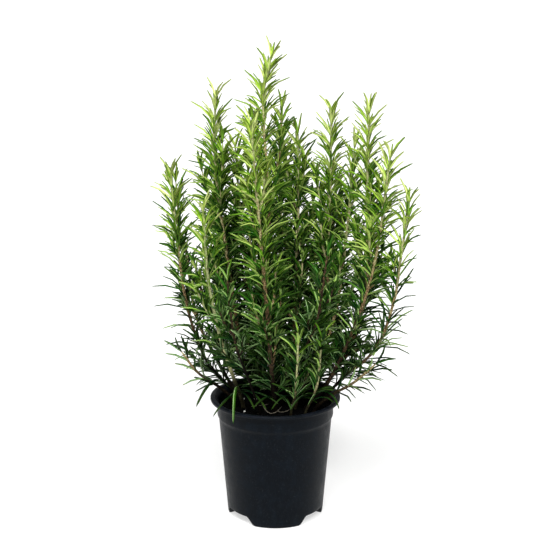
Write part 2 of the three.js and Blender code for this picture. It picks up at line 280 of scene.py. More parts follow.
# Every finish ends alike: colour, roughness and gloss on the shader, and a bump from a pattern.
def finished(shader, finish, base, pattern, roughness=None):
    gloss = finish["gloss"]
    roughness = roughness or finish["roughness"]
    feed(shader, {"Base Color": base, "Roughness": roughness, "Specular IOR Level": gloss})
    inputs = dict(zip(("Distance", "Strength"), finish["bump"]), Height=pattern)
    feed(shader, {"Normal": pattern.through("ShaderNodeBump", inputs)})


# The nursery pot: one moulded shell with a flat flange, a collar and three feet.
potSizes = {
    "rimRadius": 65,
    "height": 123,
    "flangeThickness": 3,
    "flangeWidth": 4.7,
    "collarRadius": 58.2,
    "collarHeight": 16,
    "bodyTopRadius": 56.7,
    "bodyBottomRadius": 48.2,
    "bodyRise": 100,
    "wall": 1.3,
    "footHeight": 9,
    "arches": ((90, 22, 22), (210, 16, 27), (330, 24, 16)),
    "archSlope": 8,
    "archFade": 14,
    "middleRadius": 27,
    "drainRadius": 5,
    "drainDistance": 33,
    "drainSides": 40,
    "drainCut": 20,
    "sharpFrom": 50,
    "segments": 192,
}


def smoothStep(value, start, end):
    share = min(1, max(0, (value - start) / (end - start)))
    return share * share * (3 - 2 * share)


# How far the bottom is raised at a place: 1 in the middle and in the arches, 0 in the feet.
def archShare(sizes, radius, angle):
    raised = smoothStep(radius, sizes["middleRadius"] + 2, sizes["middleRadius"] - 1)
    for axis, before, after in sizes["arches"]:
        apart = angle - math.radians(axis)
        if math.cos(apart) > 0:
            across = radius * math.sin(apart)
            edge = after if across > 0 else before
            raised = max(raised, smoothStep(abs(across), edge, edge - sizes["archSlope"]))
    return raised


# Rings of points from the middle of a bottom out to its edge and up a wall.
def ringPoints(sizes, outline, floor):
    rings = []
    slope = (sizes["bodyTopRadius"] - sizes["bodyBottomRadius"]) / sizes["bodyRise"]
    for radius, height in outline:
        ring = []
        for step in range(sizes["segments"]):
            angle = turn * step / sizes["segments"]
            low = height - floor
            lift = 0
            if low < sizes["archFade"]:
                lift = sizes["footHeight"] * archShare(sizes, radius, angle)
                lift *= 1 - low / sizes["archFade"]
            reach = radius + (lift * slope if low > 0 else 0)
            ring.append(Vector((reach * math.cos(angle), reach * math.sin(angle), height + lift)) * mm)
        rings.append(ring)
    return rings


# Walls from each ring of corners to the next.
def walled(skin, rings):
    for low, high in zip(rings, rings[1:]):
        for step, corner in enumerate(low):
            after = (step + 1) % len(low)
            skin.faces.new((corner, low[after], high[after], high[step]))


# A needle has a pointed tip and a flat foot.
def pointed(skin, rings, tip):
    walled(skin, rings)
    point = skin.verts.new(tip)
    for step, corner in enumerate(rings[-1]):
        skin.faces.new((corner, rings[-1][(step + 1) % len(rings[-1])], point))
    skin.faces.new(list(reversed(rings[0])))


def meshOf(skin, name, isSmooth=False):
    bmesh.ops.recalc_face_normals(skin, faces=skin.faces)
    for face in skin.faces:
        face.smooth = isSmooth
    mesh = bpy.data.meshes.new(name)
    skin.to_mesh(mesh)
    skin.free()
    return mesh


def stamped(mesh, name, values, kind="FLOAT"):
    part = "vector" if kind == "FLOAT_VECTOR" else "value"
    mesh.attributes.new(name, kind, "POINT").data.foreach_set(part, values)


# A closed skin over rings, with a point in the middle at both ends.
def skinned(name, rings, lowMiddle, highMiddle):
    skin = bmesh.new()
    grid = [[skin.verts.new(point) for point in ring] for ring in rings]
    walled(skin, grid)
    for ring, middle in ((grid[0], lowMiddle), (grid[-1], highMiddle)):
        centre = skin.verts.new(Vector((0, 0, middle)) * mm)
        for step, corner in enumerate(ring):
            skin.faces.new((centre, corner, ring[(step + 1) % len(ring)]))
    return meshOf(skin, name, True)


bottomRadii = (6, 12, 18, 23, 25, 26, 27, 28, 29, 30, 32, 34, 36, 38, 40, 42, 44)


def potOutline(sizes):
    under = sizes["height"] - sizes["flangeThickness"]
    foot = under - sizes["collarHeight"]
    low = sizes["bodyBottomRadius"]
    top = sizes["bodyTopRadius"]
    rim = sizes["rimRadius"]
    collar = sizes["collarRadius"]
    wall = sizes["wall"]
    outside = [(radius, 0) for radius in bottomRadii]
    outside += [(low - 2.2, 0), (low - 1.2, 0.25), (low - 0.5, 0.9), (low - 0.1, 2)]
    shares = (0.03, 0.07, 0.12, 0.3, 0.6, 0.97, 1)
    outside += [(low + (top - low) * share, 2 + (foot - 3.4) * share) for share in shares]
    outside += [(top + 0.6, foot - 0.9), (collar - 0.8, foot - 0.3), (collar - 0.25, foot + 0.3)]
    outside += [(collar, foot + 1.4), (collar, foot + 8), (collar, under - 1.2), (collar + 0.5, under - 0.3)]
    outside += [(collar + 1.3, under), (rim - 0.9, under), (rim - 0.3, under + 0.2), (rim, under + 0.8)]
    outside += [(rim, sizes["height"] - 0.8), (rim - 0.25, sizes["height"] - 0.2), (rim - 0.8, sizes["height"])]
    lip = rim - sizes["flangeWidth"]
    inside = [(lip + 0.9, sizes["height"]), (lip + 0.3, sizes["height"] - 0.3), (lip, sizes["height"] - 0.9)]
    inside += [(collar - wall + 0.5, under - 0.4), (collar - wall, under - 1.4), (collar - wall, foot + 1)]
    inside += [(top - wall + 0.4, foot - 0.6), (top - wall, foot - 2), (low - wall + 1, 16)]
    inside += [(low - wall, 3.2), (low - wall - 0.8, wall + 0.4), (low - wall - 2, wall)]
    inside += [(radius, wall) for radius in reversed(bottomRadii)]
    return outside, inside


def makePot(sizes, material):
    outside, inside = potOutline(sizes)
    rings = ringPoints(sizes, outside, 0) + ringPoints(sizes, inside, sizes["wall"])
    raised = sizes["footHeight"]
    pot = shown(skinned("moulded_pot", rings, raised, raised + sizes["wall"]), "moulded_pot")
    cutters = []
    for axis, _, _ in sizes["arches"]:
        x = sizes["drainDistance"] * math.cos(math.radians(axis)) * mm
        y = sizes["drainDistance"] * math.sin(math.radians(axis)) * mm
        bpy.ops.mesh.primitive_cylinder_add(
            vertices=sizes["drainSides"],
            radius=sizes["drainRadius"] * mm,
            depth=sizes["drainCut"] * mm,
            location=(x, y, raised * mm),
        )
        cutters.append(bpy.context.object)
        cut = pot.modifiers.new("drainHole", "BOOLEAN")
        cut.object = cutters[-1]
        cut.solver = "EXACT"
    evaluated = pot.evaluated_get(bpy.context.evaluated_depsgraph_get())
    drained = bpy.data.meshes.new_from_object(evaluated)
    dropped(pot, *cutters)
    drained.name = "moulded_pot"
    drained.materials.clear()
    drained.materials.append(material)
    drained.set_sharp_from_angle(angle=math.radians(sizes["sharpFrom"]))
    return shown(drained, "moulded_pot")


# A range here holds from low, from high, to low and to high. A pattern holds how fine a noise is
# along x, y and z, and its detail.
potFinish = {
    "patterns": (
        ((28, 28, 20), 6.0), ((260, 260, 18), 5.0), ((150, 150, 700), 3.0), ((1500, 1500, 1500), 2.0),
    ),
    "black": (0.0008, 0.0020, 0.0036),
    "dusty": (0.0025, 0.0055, 0.0095),
    "scuff": (0.07, 0.075, 0.08),
    # rim is painted on the flange top in patches: a painted reflection of the bright surround
    "rim": (0.005, 0.0065, 0.0100),
    "dust": (0.45, 0.75, 0.0, 0.55),
    "drag": (0.56, 0.76, 0.0, 0.50),
    "scratch": (0.65, 0.73, 0.0, 0.55),
    "rimSheenHeight": (0.1205, 0.1228, 0.0, 0.9),
    "rimSheenPatches": (0.40, 0.60, 0.25, 1.0),
    "roughness": (0.3, 0.7, 0.34, 0.50),
    "gloss": 0.07,
    "bump": (0.0001, 0.35),
}


def potPlastic(finish):
    material, tree, shader = newMaterial("satinBlackPlastic")
    cloud, streaks, marks, grain = (noisePattern(tree, *pattern) for pattern in finish["patterns"])
    base = blended(tree, cloud.spread(*finish["dust"]), finish["black"], finish["dusty"])
    base = blended(tree, streaks.spread(*finish["drag"]), base, finish["dusty"])
    base = blended(tree, marks.spread(*finish["scratch"]), base, finish["scuff"])
    # The flange top is painted lighter in patches, a painted reflection of the bright surround at grazing
    # angles.
    height = objectPlace(tree).parts()[2]
    rimSheen = height.spread(*finish["rimSheenHeight"]) * cloud.spread(*finish["rimSheenPatches"])
    base = blended(tree, rimSheen, base, finish["rim"])
    finished(shader, finish, base, grain, cloud.spread(*finish["roughness"]))
    return material


pot = makePot(potSizes, potPlastic(potFinish))
print("pot moulded,", len(pot.data.polygons), "faces")

# The soil fills the pot to about 10 mm under its rim.
soilSizes = {
    "top": 112.5,
    "mound": 2.2,
    "waves": (0.13, 0.16, 0.05),
    "lumps": 1.3,
    "lumpScale": 0.16,
    "lumpNoise": (0.8, 2.1, 4),
    "gap": 0.3,
    "rings": 34,
    "openAbove": 108,
    "smallGrains": 2.2,
}


def soilHeight(x, y):
    across, deep, skew = soilSizes["waves"]
    swell = math.sin(x * across + 1) + math.cos(y * deep + x * skew)
    lumps = noise.fractal(Vector((x, y, 0)) * soilSizes["lumpScale"], *soilSizes["lumpNoise"])
    return soilSizes["top"] + soilSizes["mound"] / 2 * swell + soilSizes["lumps"] * lumps


def makeSoil(pot, sizes, material):
    side = pot["wall"] + sizes["gap"]
    foot = pot["height"] - pot["flangeThickness"] - pot["collarHeight"]
    outline = [(radius, side) for radius in bottomRadii]
    outline += [(pot["bodyBottomRadius"] - side - 2, side), (pot["bodyBottomRadius"] - side, 4)]
    outline += [(pot["bodyBottomRadius"] - side + 1, 16), (pot["bodyTopRadius"] - side, foot - 2)]
    edge = pot["collarRadius"] - side
    outline += [(edge, foot + 1)]
    rings = ringPoints(pot, outline, side)
    for step in range(sizes["rings"]):
        radius = edge * (1 - step / sizes["rings"])
        ring = []
        for number in range(pot["segments"]):
            angle = turn * number / pot["segments"]
            x, y = radius * math.cos(angle), radius * math.sin(angle)
            ring.append(Vector((x, y, soilHeight(x, y))) * mm)
        rings.append(ring)
    mesh = skinned("potting_soil", rings, pot["footHeight"] + side, soilHeight(0, 0))
    mesh.materials.append(material)
    return shown(mesh, "potting_soil")


# The finishes on and in the soil; the colours stand along a noise pattern.
soilFinishes = {
    "darkPeat": {
        "pattern": ((420, 420, 420), 8.0, 0.65),
        "colours": (
            (0.30, (0.0005, 0.0006, 0.0009)),
            (0.55, (0.0014, 0.0014, 0.0015)),
            (0.75, (0.007, 0.006, 0.005)),
        ),
        "roughness": 0.92,
        "gloss": 0.04,
        "bump": (0.0012, 0.8),
    },
    "perliteWhite": {
        "pattern": ((1600, 1600, 1600), 4.0),
        "colours": ((0.35, (0.42, 0.41, 0.38)), (0.6, (0.80, 0.80, 0.77))),
        "roughness": 0.85,
        "gloss": 0.5,
        "bump": (0.0004, 0.7),
    },
    "dryFibre": {
        "pattern": ((900, 300, 900), 5.0),
        "colours": ((0.35, (0.045, 0.038, 0.026)), (0.65, (0.17, 0.15, 0.11))),
        "roughness": 0.8,
        "gloss": 0.5,
        "bump": (0.0003, 0.6),
    },
}


def soilMaterial(name):
    material, tree, shader = newMaterial(name)
    finish = soilFinishes[name]
    pattern = noisePattern(tree, *finish["pattern"])
    finished(shader, finish, ramp(pattern, finish["colours"]), pattern)
    return material


# A lumpy grain, about 1 unit across, to be scattered. Each kind has its squash, fineness and seed.
grainShape = {"lumpsPerUnit": 2.3, "lumpDepth": 0.55, "crumb": (0.8, 1, 3.1), "pearl": (0.85, 2, 7.7)}


def makeGrain(name, squash, fineness, seed):
    mesh = bpy.data.meshes.new(name)
    lump = bmesh.new()
    bmesh.ops.create_icosphere(lump, subdivisions=fineness, radius=0.5)
    for corner in lump.verts:
        rough = noise.noise(corner.co * grainShape["lumpsPerUnit"] + Vector((seed, 0, seed)))
        corner.co *= 1 + grainShape["lumpDepth"] * rough
        corner.co.z *= squash
    lump.to_mesh(mesh)
    lump.free()
    return shown(mesh, name)


# A bent dry strand, 1 unit long along X.
strandShape = {
    "steps": 10,
    "sides": 5,
    "radius": 0.019,
    "thinEnds": 0.5,
    "flat": 0.6,
    "sway": (0.27, 3.4),
    "rise": (0.12, 3.1),
}


def makeStrand(name, sizes):
    strand = bmesh.new()
    sides = sizes["sides"]
    rings = []
    for step in range(sizes["steps"] + 1):
        share = step / sizes["steps"]
        sway, rise = (depth * math.sin(share * bend) for depth, bend in (sizes["sway"], sizes["rise"]))
        girth = sizes["radius"] * (1 - sizes["thinEnds"] * abs(2 * share - 1) ** 3)
        ring = []
        for corner in range(sides):
            angle = turn * corner / sides
            around = Vector((0, math.cos(angle), sizes["flat"] * math.sin(angle)))
            ring.append(strand.verts.new(Vector((share - 0.5, sway, rise)) + around * girth))
        rings.append(ring)
    walled(strand, rings)
    strand.faces.new(rings[0])
    strand.faces.new(rings[-1])
    return shown(meshOf(strand, name), name)


# Scatters grains over the open soil, with a fixed seed.
def scatterTree(sizes):
    kinds = {"Grain": "Object", "Grain Material": "Material", "Density": "Float", "Reach": "Float"}
    kinds |= {"Smallest": "Float", "Largest": "Float", "Tilt": "Float", "Lift": "Float", "Seed": "Int"}
    tree, given = newGeometryTree("soilScatter", kinds)
    seed, tilt = given["Seed"], given["Tilt"]
    x, y, z = position(tree).parts()
    isOpen = (fromAxis(x, y) < given["Reach"]) * (z > sizes["openAbove"] * mm)
    inputs = {"Mesh": given["Geometry"], "Selection": isOpen, "Density": given["Density"], "Seed": seed}
    points = made(tree, "GeometryNodeDistributePointsOnFaces", inputs)
    angles = {
        0: chance(seed, tilt * -1.0, tilt, 11),
        1: chance(seed, tilt * -1.0, tilt, 12),
        2: chance(seed, 0.0, turn, 13),
    }
    turned = made(tree, "ShaderNodeCombineXYZ", angles)
    size = chance(seed, 0.0, 1.0, 14) ** sizes["smallGrains"]
    size = size * (given["Largest"] - given["Smallest"]) + given["Smallest"]
    raised = made(tree, "ShaderNodeCombineXYZ", {2: size * given["Lift"]})
    moved = made(tree, "GeometryNodeSetPosition", {"Geometry": points, "Offset": raised})
    grain = put(tree, "GeometryNodeObjectInfo", {"Object": given["Grain"]}).outputs["Geometry"]
    inputs = {"Points": moved, "Instance": grain, "Rotation": turned, "Scale": size}
    closeTree(tree, made(tree, "GeometryNodeInstanceOnPoints", inputs), given["Grain Material"])
    return tree


# What lies loose on the soil: pieces per square metre, reach from the middle, size, tilt, lift and
# seed, in metres.
grainValues = ("Density", "Reach", "Smallest", "Largest", "Tilt", "Lift", "Seed")
looseGrains = {
    "soil_crumbs": (120000, 0.055, 0.0012, 0.0046, 1.5, 0.1, 5),
    "perlite_grains": (700, 0.0545, 0.0012, 0.003, 1.5, 0.45, 21),
    "dry_strands": (600, 0.047, 0.008, 0.024, 0.35, 0.1, 34),
}


def strewn(name, shape, material):
    values = {"Grain": shape, "Grain Material": material, **dict(zip(grainValues, looseGrains[name]))}
    return grown(soil, scatter, values, name)


soil = makeSoil(potSizes, soilSizes, soilMaterial("darkPeat"))
scatter = scatterTree(soilSizes)
crumb = makeGrain("crumbShape", *grainShape["crumb"])
pearl = makeGrain("pearlShape", *grainShape["pearl"])
strand = makeStrand("strandShape", strandShape)
fibre, white = soilMaterial("dryFibre"), soilMaterial("perliteWhite")
crumbs = strewn("soil_crumbs", crumb, soil.data.materials[0])
perlite = strewn("perlite_grains", pearl, white)
strands = strewn("dry_strands", strand, fibre)
dropped(crumb, pearl, strand)

# The one large grain that shows in front on the left.
loosePearl = {"place": (-30, -26, 115), "across": 2.4}


def placeLoosePearl(sizes, material):
    piece = makeGrain("loose_pearl", *grainShape["pearl"])
    for corner in piece.data.vertices:
        corner.co = (corner.co * sizes["across"] + Vector(sizes["place"])) * mm
    piece.data.materials.append(material)
    return piece


pearlInFront = placeLoosePearl(loosePearl, white)
print("soil filled,", len(crumbs.data.polygons), "crumb faces")

# The stems by name. A path starts at the soil: x to the right, y to the back, z up, in mm.
# leafFrom is the height of the lowest needles; side holds height, compass angle, length and reach.
# pace below 1 keeps a stem green for longer; older says how many mm further from its tip it looks;
# tuftGap is the distance between its tufts where it differs from the usual one; thin says what share
# of the small needles a stem keeps below a height.
# A large older also paints shade: the back stems and the low, inner ones are set older so their needles and
# bark come out darker, and barkOlder does the same for a stem's bark.
stems = {
    "tall_centre": {
        "path": [
            (-3, 5), (-4, 6, 140), (-7, 6, 220), (-6, 5, 303), (-11, 6, 395), (-11, 6, 425), (-4, 6, 456),
        ],
        "leafFrom": 119, "side": [(315, 50, 100, 26), (255, 200, 52), (200, 20, 48), (348, 160, 42)],
        "pace": 0.8, "barkPace": 1.5, "open": (0.7, 395),
    },
    "front_centre": {
        "path": [(0, -26), (-3, -28, 150), (-8, -35, 222), (-15, -47, 310), (-22, -60, 402)], "leafFrom": 130,
        "side": [
            (160, 60, 50, 15), (185, 150, 56, 16), (208, 40, 54, 14), (228, 80, 52, 15), (246, 140, 52, 14),
            (268, 60, 48, 13), (290, 150, 44, 11), (318, 20, 38, 9),
        ],
        "pace": 0.58, "barkPace": 1.3, "foot": 156, "open": (0.65, 330), "radius": 2.5, "thin": (0.4, 290),
    },
    "left_tall": {
        "path": [(-21, 26), (-32, 28, 150), (-43, 31, 220), (-56, 34, 318), (-60, 36, 370), (-58, 37, 416)],
        "leafFrom": 121, "side": [(325, 340, 54, 11), (296, 175, 54, 13), (210, 200, 48)], "foot": 165,
        "pace": 0.9, "thin": (0.7, 220),
    },
    "left_outer": {
        "radius": 1.8, "barkPace": 1.8,
        "path": [
            (-38, 14), (-54, 17, 134), (-72, 20, 158), (-88, 26, 205), (-97, 34, 262), (-104, 42, 338),
        ],
        "leafFrom": 124, "side": [(262, 50, 78, 9)], "foot": 160, "pace": 0.9, "tuftGap": 60, "apart": 1.15,
        "thin": (0.3, 255), "open": (0.4, 240),
    },
    "left_front": {
        "path": [(-32, -10), (-41, -13, 145), (-54, -19, 190), (-64, -30, 250), (-67, -44, 318)],
        "leafFrom": 152, "side": [(205, 200, 38)], "pace": 0.7, "barkPace": 0.5, "foot": 152, "apart": 1.25,
        "open": (0.8, 255), "thin": (0.35, 275),
    },
    "left_small": {
        "path": [(-10, 42), (-22, 47, 180), (-34, 54, 280), (-40, 60, 364)], "leafFrom": 122,
        "side": [(190, 300, 52, 22), (225, 200, 52, 20), (260, 110, 46), (296, 0, 62, 13)], "older": 5,
    },
    "back_right_thin": {
        "path": [(14, 28), (19, 33, 180), (23, 41, 290), (22, 46, 379)], "leafFrom": 122,
        "side": [
            (190, 200, 54, 24), (205, 290, 52, 14), (225, 20, 54, 22), (240, 260, 50, 13), (260, 180, 48, 18),
            (300, 180, 60, 13), (262, 0, 54, 14), (318, 20, 40, 7),
        ],
        "older": 10,
    },
    "right_inner": {
        "path": [(30, 24), (42, 25, 145), (52, 28, 225), (54, 31, 320), (55, 34, 402)], "leafFrom": 121,
        "side": [(250, 230, 50), (298, 180, 46)], "foot": 155, "pace": 0.85,
    },
    "right_tall": {
        "path": [(35, -3), (52, -3, 138), (76, -4, 178), (89, -5, 240), (88, -10, 330), (88, -17, 408)],
        "leafFrom": 144, "side": [(250, 150, 44), (300, 340, 42)], "pace": 0.75, "apart": 1.2,
        "thin": (0.4, 310), "open": (0.3, 320),
    },
    "right_middle": {
        "path": [(23, 10), (40, 12, 140), (60, 15, 205), (71, 18, 290), (77, 20, 370)], "leafFrom": 124,
        "foot": 150, "side": [(225, 250, 44)], "pace": 0.8, "tuftGap": 60, "thin": (0.3, 320),
        "open": (0.4, 310),
    },
    "right_front": {
        "radius": 1.8, "barkPace": 1.45,
        "path": [(30, -17), (50, -20, 140), (76, -26, 200), (95, -34, 270), (106, -46, 370)], "leafFrom": 146,
        "side": [(265, 200, 42)], "pace": 0.7, "tuftGap": 60, "apart": 1.2, "thin": (0.45, 285),
        "open": (0.2, 300),
    },
    "right_outer": {
        "path": [
            (43, -12), (62, -15, 141), (98, -20, 178), (114, -29, 228), (119, -38, 275), (125, -46, 328),
        ],
        "leafFrom": 134, "foot": 150, "radius": 1.6, "barkPace": 1.5, "pace": 0.7, "tuftGap": 100,
        "apart": 1.15, "vigour": 1.08, "thin": (0.5, 265), "open": (0.2, 290),
    },
    "right_low": {
        "path": [(38, -27), (55, -29, 133), (76, -30, 146), (98, -31, 166)], "leafFrom": 134, "foot": 146,
        "older": 150, "apart": 1.5, "tuftGap": 200, "thin": (0.05, 400), "vigour": 0.95,
    },
    "front_small": {
        "path": [(15, -40), (20, -47, 148), (22, -60, 206)], "leafFrom": 130, "foot": 146, "older": 34,
        "radius": 1.3, "youth": 0.4, "tuftGap": 200, "thin": (0.45, 400),
    },
    "front_right_small": {
        "path": [(29, -37), (40, -46, 148), (44, -62, 202)], "leafFrom": 132, "older": 34, "radius": 1.3,
        "youth": 0.4, "tuftGap": 200, "thin": (0.45, 400),
    },
    "middle_right_small": {
        "path": [(20, -15), (34, -20, 160), (42, -29, 222)], "leafFrom": 122, "foot": 150, "older": 40,
        "youth": 0.5, "radius": 1.3,
    },
    "back_centre": {
        "path": [(3, 45), (5, 56, 170), (6, 74, 270), (4, 88, 376)], "leafFrom": 120,
        "side": [
            (165, 20, 60, 32), (185, 165, 60, 30), (205, 60, 50), (225, 345, 58, 28), (245, 190, 56, 26),
            (260, 130, 46), (285, 20, 48, 20),
        ],
        "older": 85, "tuftGap": 18,
    },
    "back_right": {
        "path": [(22, 41), (36, 54, 160), (56, 72, 250), (63, 80, 326)], "leafFrom": 122,
        "side": [
            (160, 330, 56, 28), (180, 190, 58, 30), (200, 20, 48), (220, 240, 54, 24), (240, 120, 50, 22),
            (260, 340, 42),
        ],
        "older": 75, "tuftGap": 20,
    },
    "back_left": {
        "path": [(-25, 41), (-38, 54, 160), (-56, 72, 245), (-62, 80, 338)], "leafFrom": 122,
        "side": [
            (160, 350, 56, 28), (180, 210, 58, 30), (200, 160, 48), (220, 300, 54, 24), (240, 20, 50, 22),
            (255, 80, 44),
        ],
        "older": 75, "tuftGap": 20,
    },
    "right_back": {
        "path": [(44, 10), (62, 24, 145), (88, 44, 200), (99, 54, 276)], "leafFrom": 130, "foot": 170,
        "side": [(195, 60, 42)], "older": 80, "apart": 1.4, "tuftGap": 45, "thin": (0.6, 300), "vigour": 0.85,
    },
    "left_back": {
        "path": [(-41, 26), (-58, 36, 145), (-82, 50, 195), (-92, 56, 270)], "leafFrom": 130, "foot": 170,
        "side": [(190, 130, 42)], "older": 85, "apart": 1.5, "tuftGap": 60, "thin": (0.4, 300), "vigour": 0.85,
    },
    "front_left": {
        "path": [(-15, -34), (-24, -46, 150), (-38, -66, 200), (-44, -78, 262)], "leafFrom": 158,
        "side": [(205, 200, 30)], "older": 125, "barkOlder": 260, "foot": 190, "radius": 1.1,
        "thin": (0.2, 400), "open": (0.6, 240), "vigour": 0.75,
    },
    "front_right": {
        "path": [(6, -10), (18, -30, 160), (38, -62, 215), (48, -78, 285)], "leafFrom": 160,
        "side": [(225, 330, 32)], "older": 125, "barkOlder": 260, "foot": 190, "radius": 1.1,
        "thin": (0.2, 400), "open": (0.6, 260), "vigour": 0.85,
    },
    "left_low": {
        "path": [(-42, 3), (-58, 3, 132), (-78, 4, 146), (-94, 4, 168)], "leafFrom": 132, "foot": 150,
        "older": 150, "apart": 1.5, "tuftGap": 200, "thin": (0.05, 400), "vigour": 0.85,
    },
}

stemSizes = {
    "rootDepth": 26,
    "footRise": 3,
    "foot": 146,
    "rootRadius": 2.1,
    "tipRadius": 1.0,
    "sideRadius": 1.2,
    "sideReach": 0.30,
    "sideBend": (0.8, 0.3),
    "sideRise": 0.9,
    "sideSteps": 16,
    "sideOlder": 0.45,
    "sideVigour": 0.95,
    "footShade": 0.06,
    "shadeFade": 14,
    "bareSideShare": 0.05,
    "stepsPerPath": 40,
    "thinFade": (20, 40),
    "openFade": 25,
    "topJoint": 0.6,
    "tipTaper": 5,
    "tipShare": 0.35,
    "lowJointGap": 8.0,
    "tipJointGap": 12.0,
    "jointGapFade": 60,
    "ringsPerJoint": 4,
    "sides": 8,
    "jointSwell": 0.20,
}

# Short leafy tufts fill the stems between the side shoots, most of them low down.
tuftSizes = {
    "seed": 100,
    "spacing": 36,
    "lowestHeight": 118,
    "highestShare": 0.80,
    "shortest": 18,
    "longest": 40,
    "reachShare": 0.45,
    "placePlay": (0.1, 0.9),
    "lowerMore": 1.25,
    "turn": 137.5,
    "turnPlay": (-25, 25),
    "lengthByPlace": (1.1, 0.45),
    "radius": 0.7,
    "tipRadius": 0.5,
    "vigour": (0.66, 0.9),
    "olderShare": 0.8,
}


# A line is its points with the distance to each; alongLine gives a place and a direction on it.
def measured(points):
    lengths = [0]
    for low, high in zip(points, points[1:]):
        lengths.append(lengths[-1] + (high - low).length)
    return points, lengths


def alongLine(line, distance):
    points, lengths = line
    distance = min(max(distance, 0), lengths[-1])
    high = next(number for number, length in enumerate(lengths) if number and length >= distance)
    share = (distance - lengths[high - 1]) / (lengths[high] - lengths[high - 1])
    direction = (points[high] - points[high - 1]).normalized()
    return points[high - 1].lerp(points[high], share), direction


def stemLine(path, sizes):
    top = soilSizes["top"]
    x, y = path[0]
    knots = [Vector((x, y, top - sizes["rootDepth"])), Vector((x, y, top + sizes["footRise"]))]
    knots += [Vector(knot) for knot in path[1:]]
    ends = [2 * knots[0] - knots[1]] + knots + [2 * knots[-1] - knots[-2]]
    points = []
    for before, start, end, after in zip(ends, ends[1:], ends[2:], ends[3:]):
        leave, arrive = (end - before) / 2, (after - start) / 2
        for step in range(sizes["stepsPerPath"]):
            s = step / sizes["stepsPerPath"]
            points.append(
                start
                + leave * s
                + (3 * (end - start) - 2 * leave - arrive) * s**2
                + (2 * (start - end) + leave + arrive) * s**3
            )
    return measured(points + [knots[-1]])


def distanceAtHeight(line, height):
    points, lengths = line
    return next((length for point, length in zip(points, lengths) if point.z >= height), lengths[-1])


def sideLine(stem, height, compass, length, reach):
    start, upward = alongLine(stem, distanceAtHeight(stem, height))
    angle = math.radians(compass)
    outward = Vector((math.cos(angle), math.sin(angle), 0))
    (out, up), count = stemSizes["sideBend"], stemSizes["sideSteps"]
    bend = start + outward * reach * out + upward * length * up
    end = start + outward * reach + upward * length * stemSizes["sideRise"]
    steps = [number / count for number in range(count + 1)]
    return measured([start * (1 - s) ** 2 + bend * 2 * s * (1 - s) + end * s**2 for s in steps])


# Distances of the leaf joints, from the tip down, closer together where the shoot is young.
def jointDistances(length, sizes, apart):
    places = [sizes["topJoint"]]
    while places[-1] < length:
        fade = math.exp(-places[-1] / sizes["jointGapFade"])
        gap = sizes["lowJointGap"] * apart
        places.append(places[-1] + gap + max(0, sizes["tipJointGap"] - gap) * fade)
    return [length - place for place in reversed(places) if place < length]


# One shoot as rows of a guide, each with all that the trees need to know at its place.
def shootRows(line, radii, bare, vigour, olderBy, sizes, apart=1, thin=(1, 0), opened=(0, 0)):
    length = line[1][-1]
    joints = jointDistances(length, sizes, apart)
    stations = [(0, False)]
    for low, high in zip([0] + joints, joints):
        for step in range(1, sizes["ringsPerJoint"]):
            stations.append((low + (high - low) * step / sizes["ringsPerJoint"], False))
        stations.append((high, True))
    stations.append((length, False))
    rows = []
    count = 0
    (below, above), fade = sizes["thinFade"], sizes["openFade"]
    for distance, isJoint in stations:
        place, direction = alongLine(line, distance)
        toTip = length - distance
        girth = radii[0] + (radii[1] - radii[0]) * distance / length
        girth *= sizes["tipShare"] + (1 - sizes["tipShare"]) * min(1, toTip / sizes["tipTaper"])
        count += isJoint
        leafy = isJoint and distance > bare
        fill = thin[0] + (1 - thin[0]) * smoothStep(place.z, thin[1] - below, thin[1] + above)
        bareFront = opened[0] * smoothStep(place.z, opened[1] + fade, opened[1] - fade)
        facts = (girth, toTip, isJoint, leafy, count, vigour, toTip + olderBy, fill, bareFront)
        rows.append((place, direction, *facts))
    return rows


# The guide of a stem: bare edges that carry what the trees need to know at each station.
def makeGuide(name, stem, shoots):
    mesh = bpy.data.meshes.new("guide_" + name)
    edges, rows = [], []
    for shoot in shoots:
        edges += [(len(rows) + step, len(rows) + step + 1) for step in range(len(shoot) - 1)]
        rows += shoot
    places, directions, girths, toTips, areJoints, areLeafy, counts, vigours, ages, fills, opens = zip(*rows)
    mesh.from_pydata([place * mm for place in places], edges, [])
    # Below its foot height a stem's bark is painted dark: painted shade near the soil.
    foot, dark, fade = stem.get("foot", stemSizes["foot"]), stemSizes["footShade"], stemSizes["shadeFade"]
    older = stem.get("older", 0)
    barkPace, barkOlder = stem.get("barkPace", 1), stem.get("barkOlder", older)
    facts = {
        "girth": [girth * mm for girth in girths],
        "toTip": [toTip * stem.get("youth", 1) * mm for toTip in toTips],
        "isJoint": [float(isJoint) for isJoint in areJoints],
        "isLeafy": [float(isLeafy) for isLeafy in areLeafy],
        "joint": [float(count) for count in counts],
        "vigour": vigours,
        "fill": fills,
        "open": opens,
        "belowTip": [(age * stem.get("pace", 1) + older) * mm for age in ages],
        "barkAge": [(age * barkPace + barkOlder) * mm for age in ages],
        "shade": [dark + (1 - dark) * smoothStep(place.z, foot - fade, foot + fade) for place in places],
    }
    for fact, values in facts.items():
        stamped(mesh, fact, values)
    stamped(mesh, "grow", [part for direction in directions for part in direction], "FLOAT_VECTOR")
    return shown(mesh, "guide_" + name)


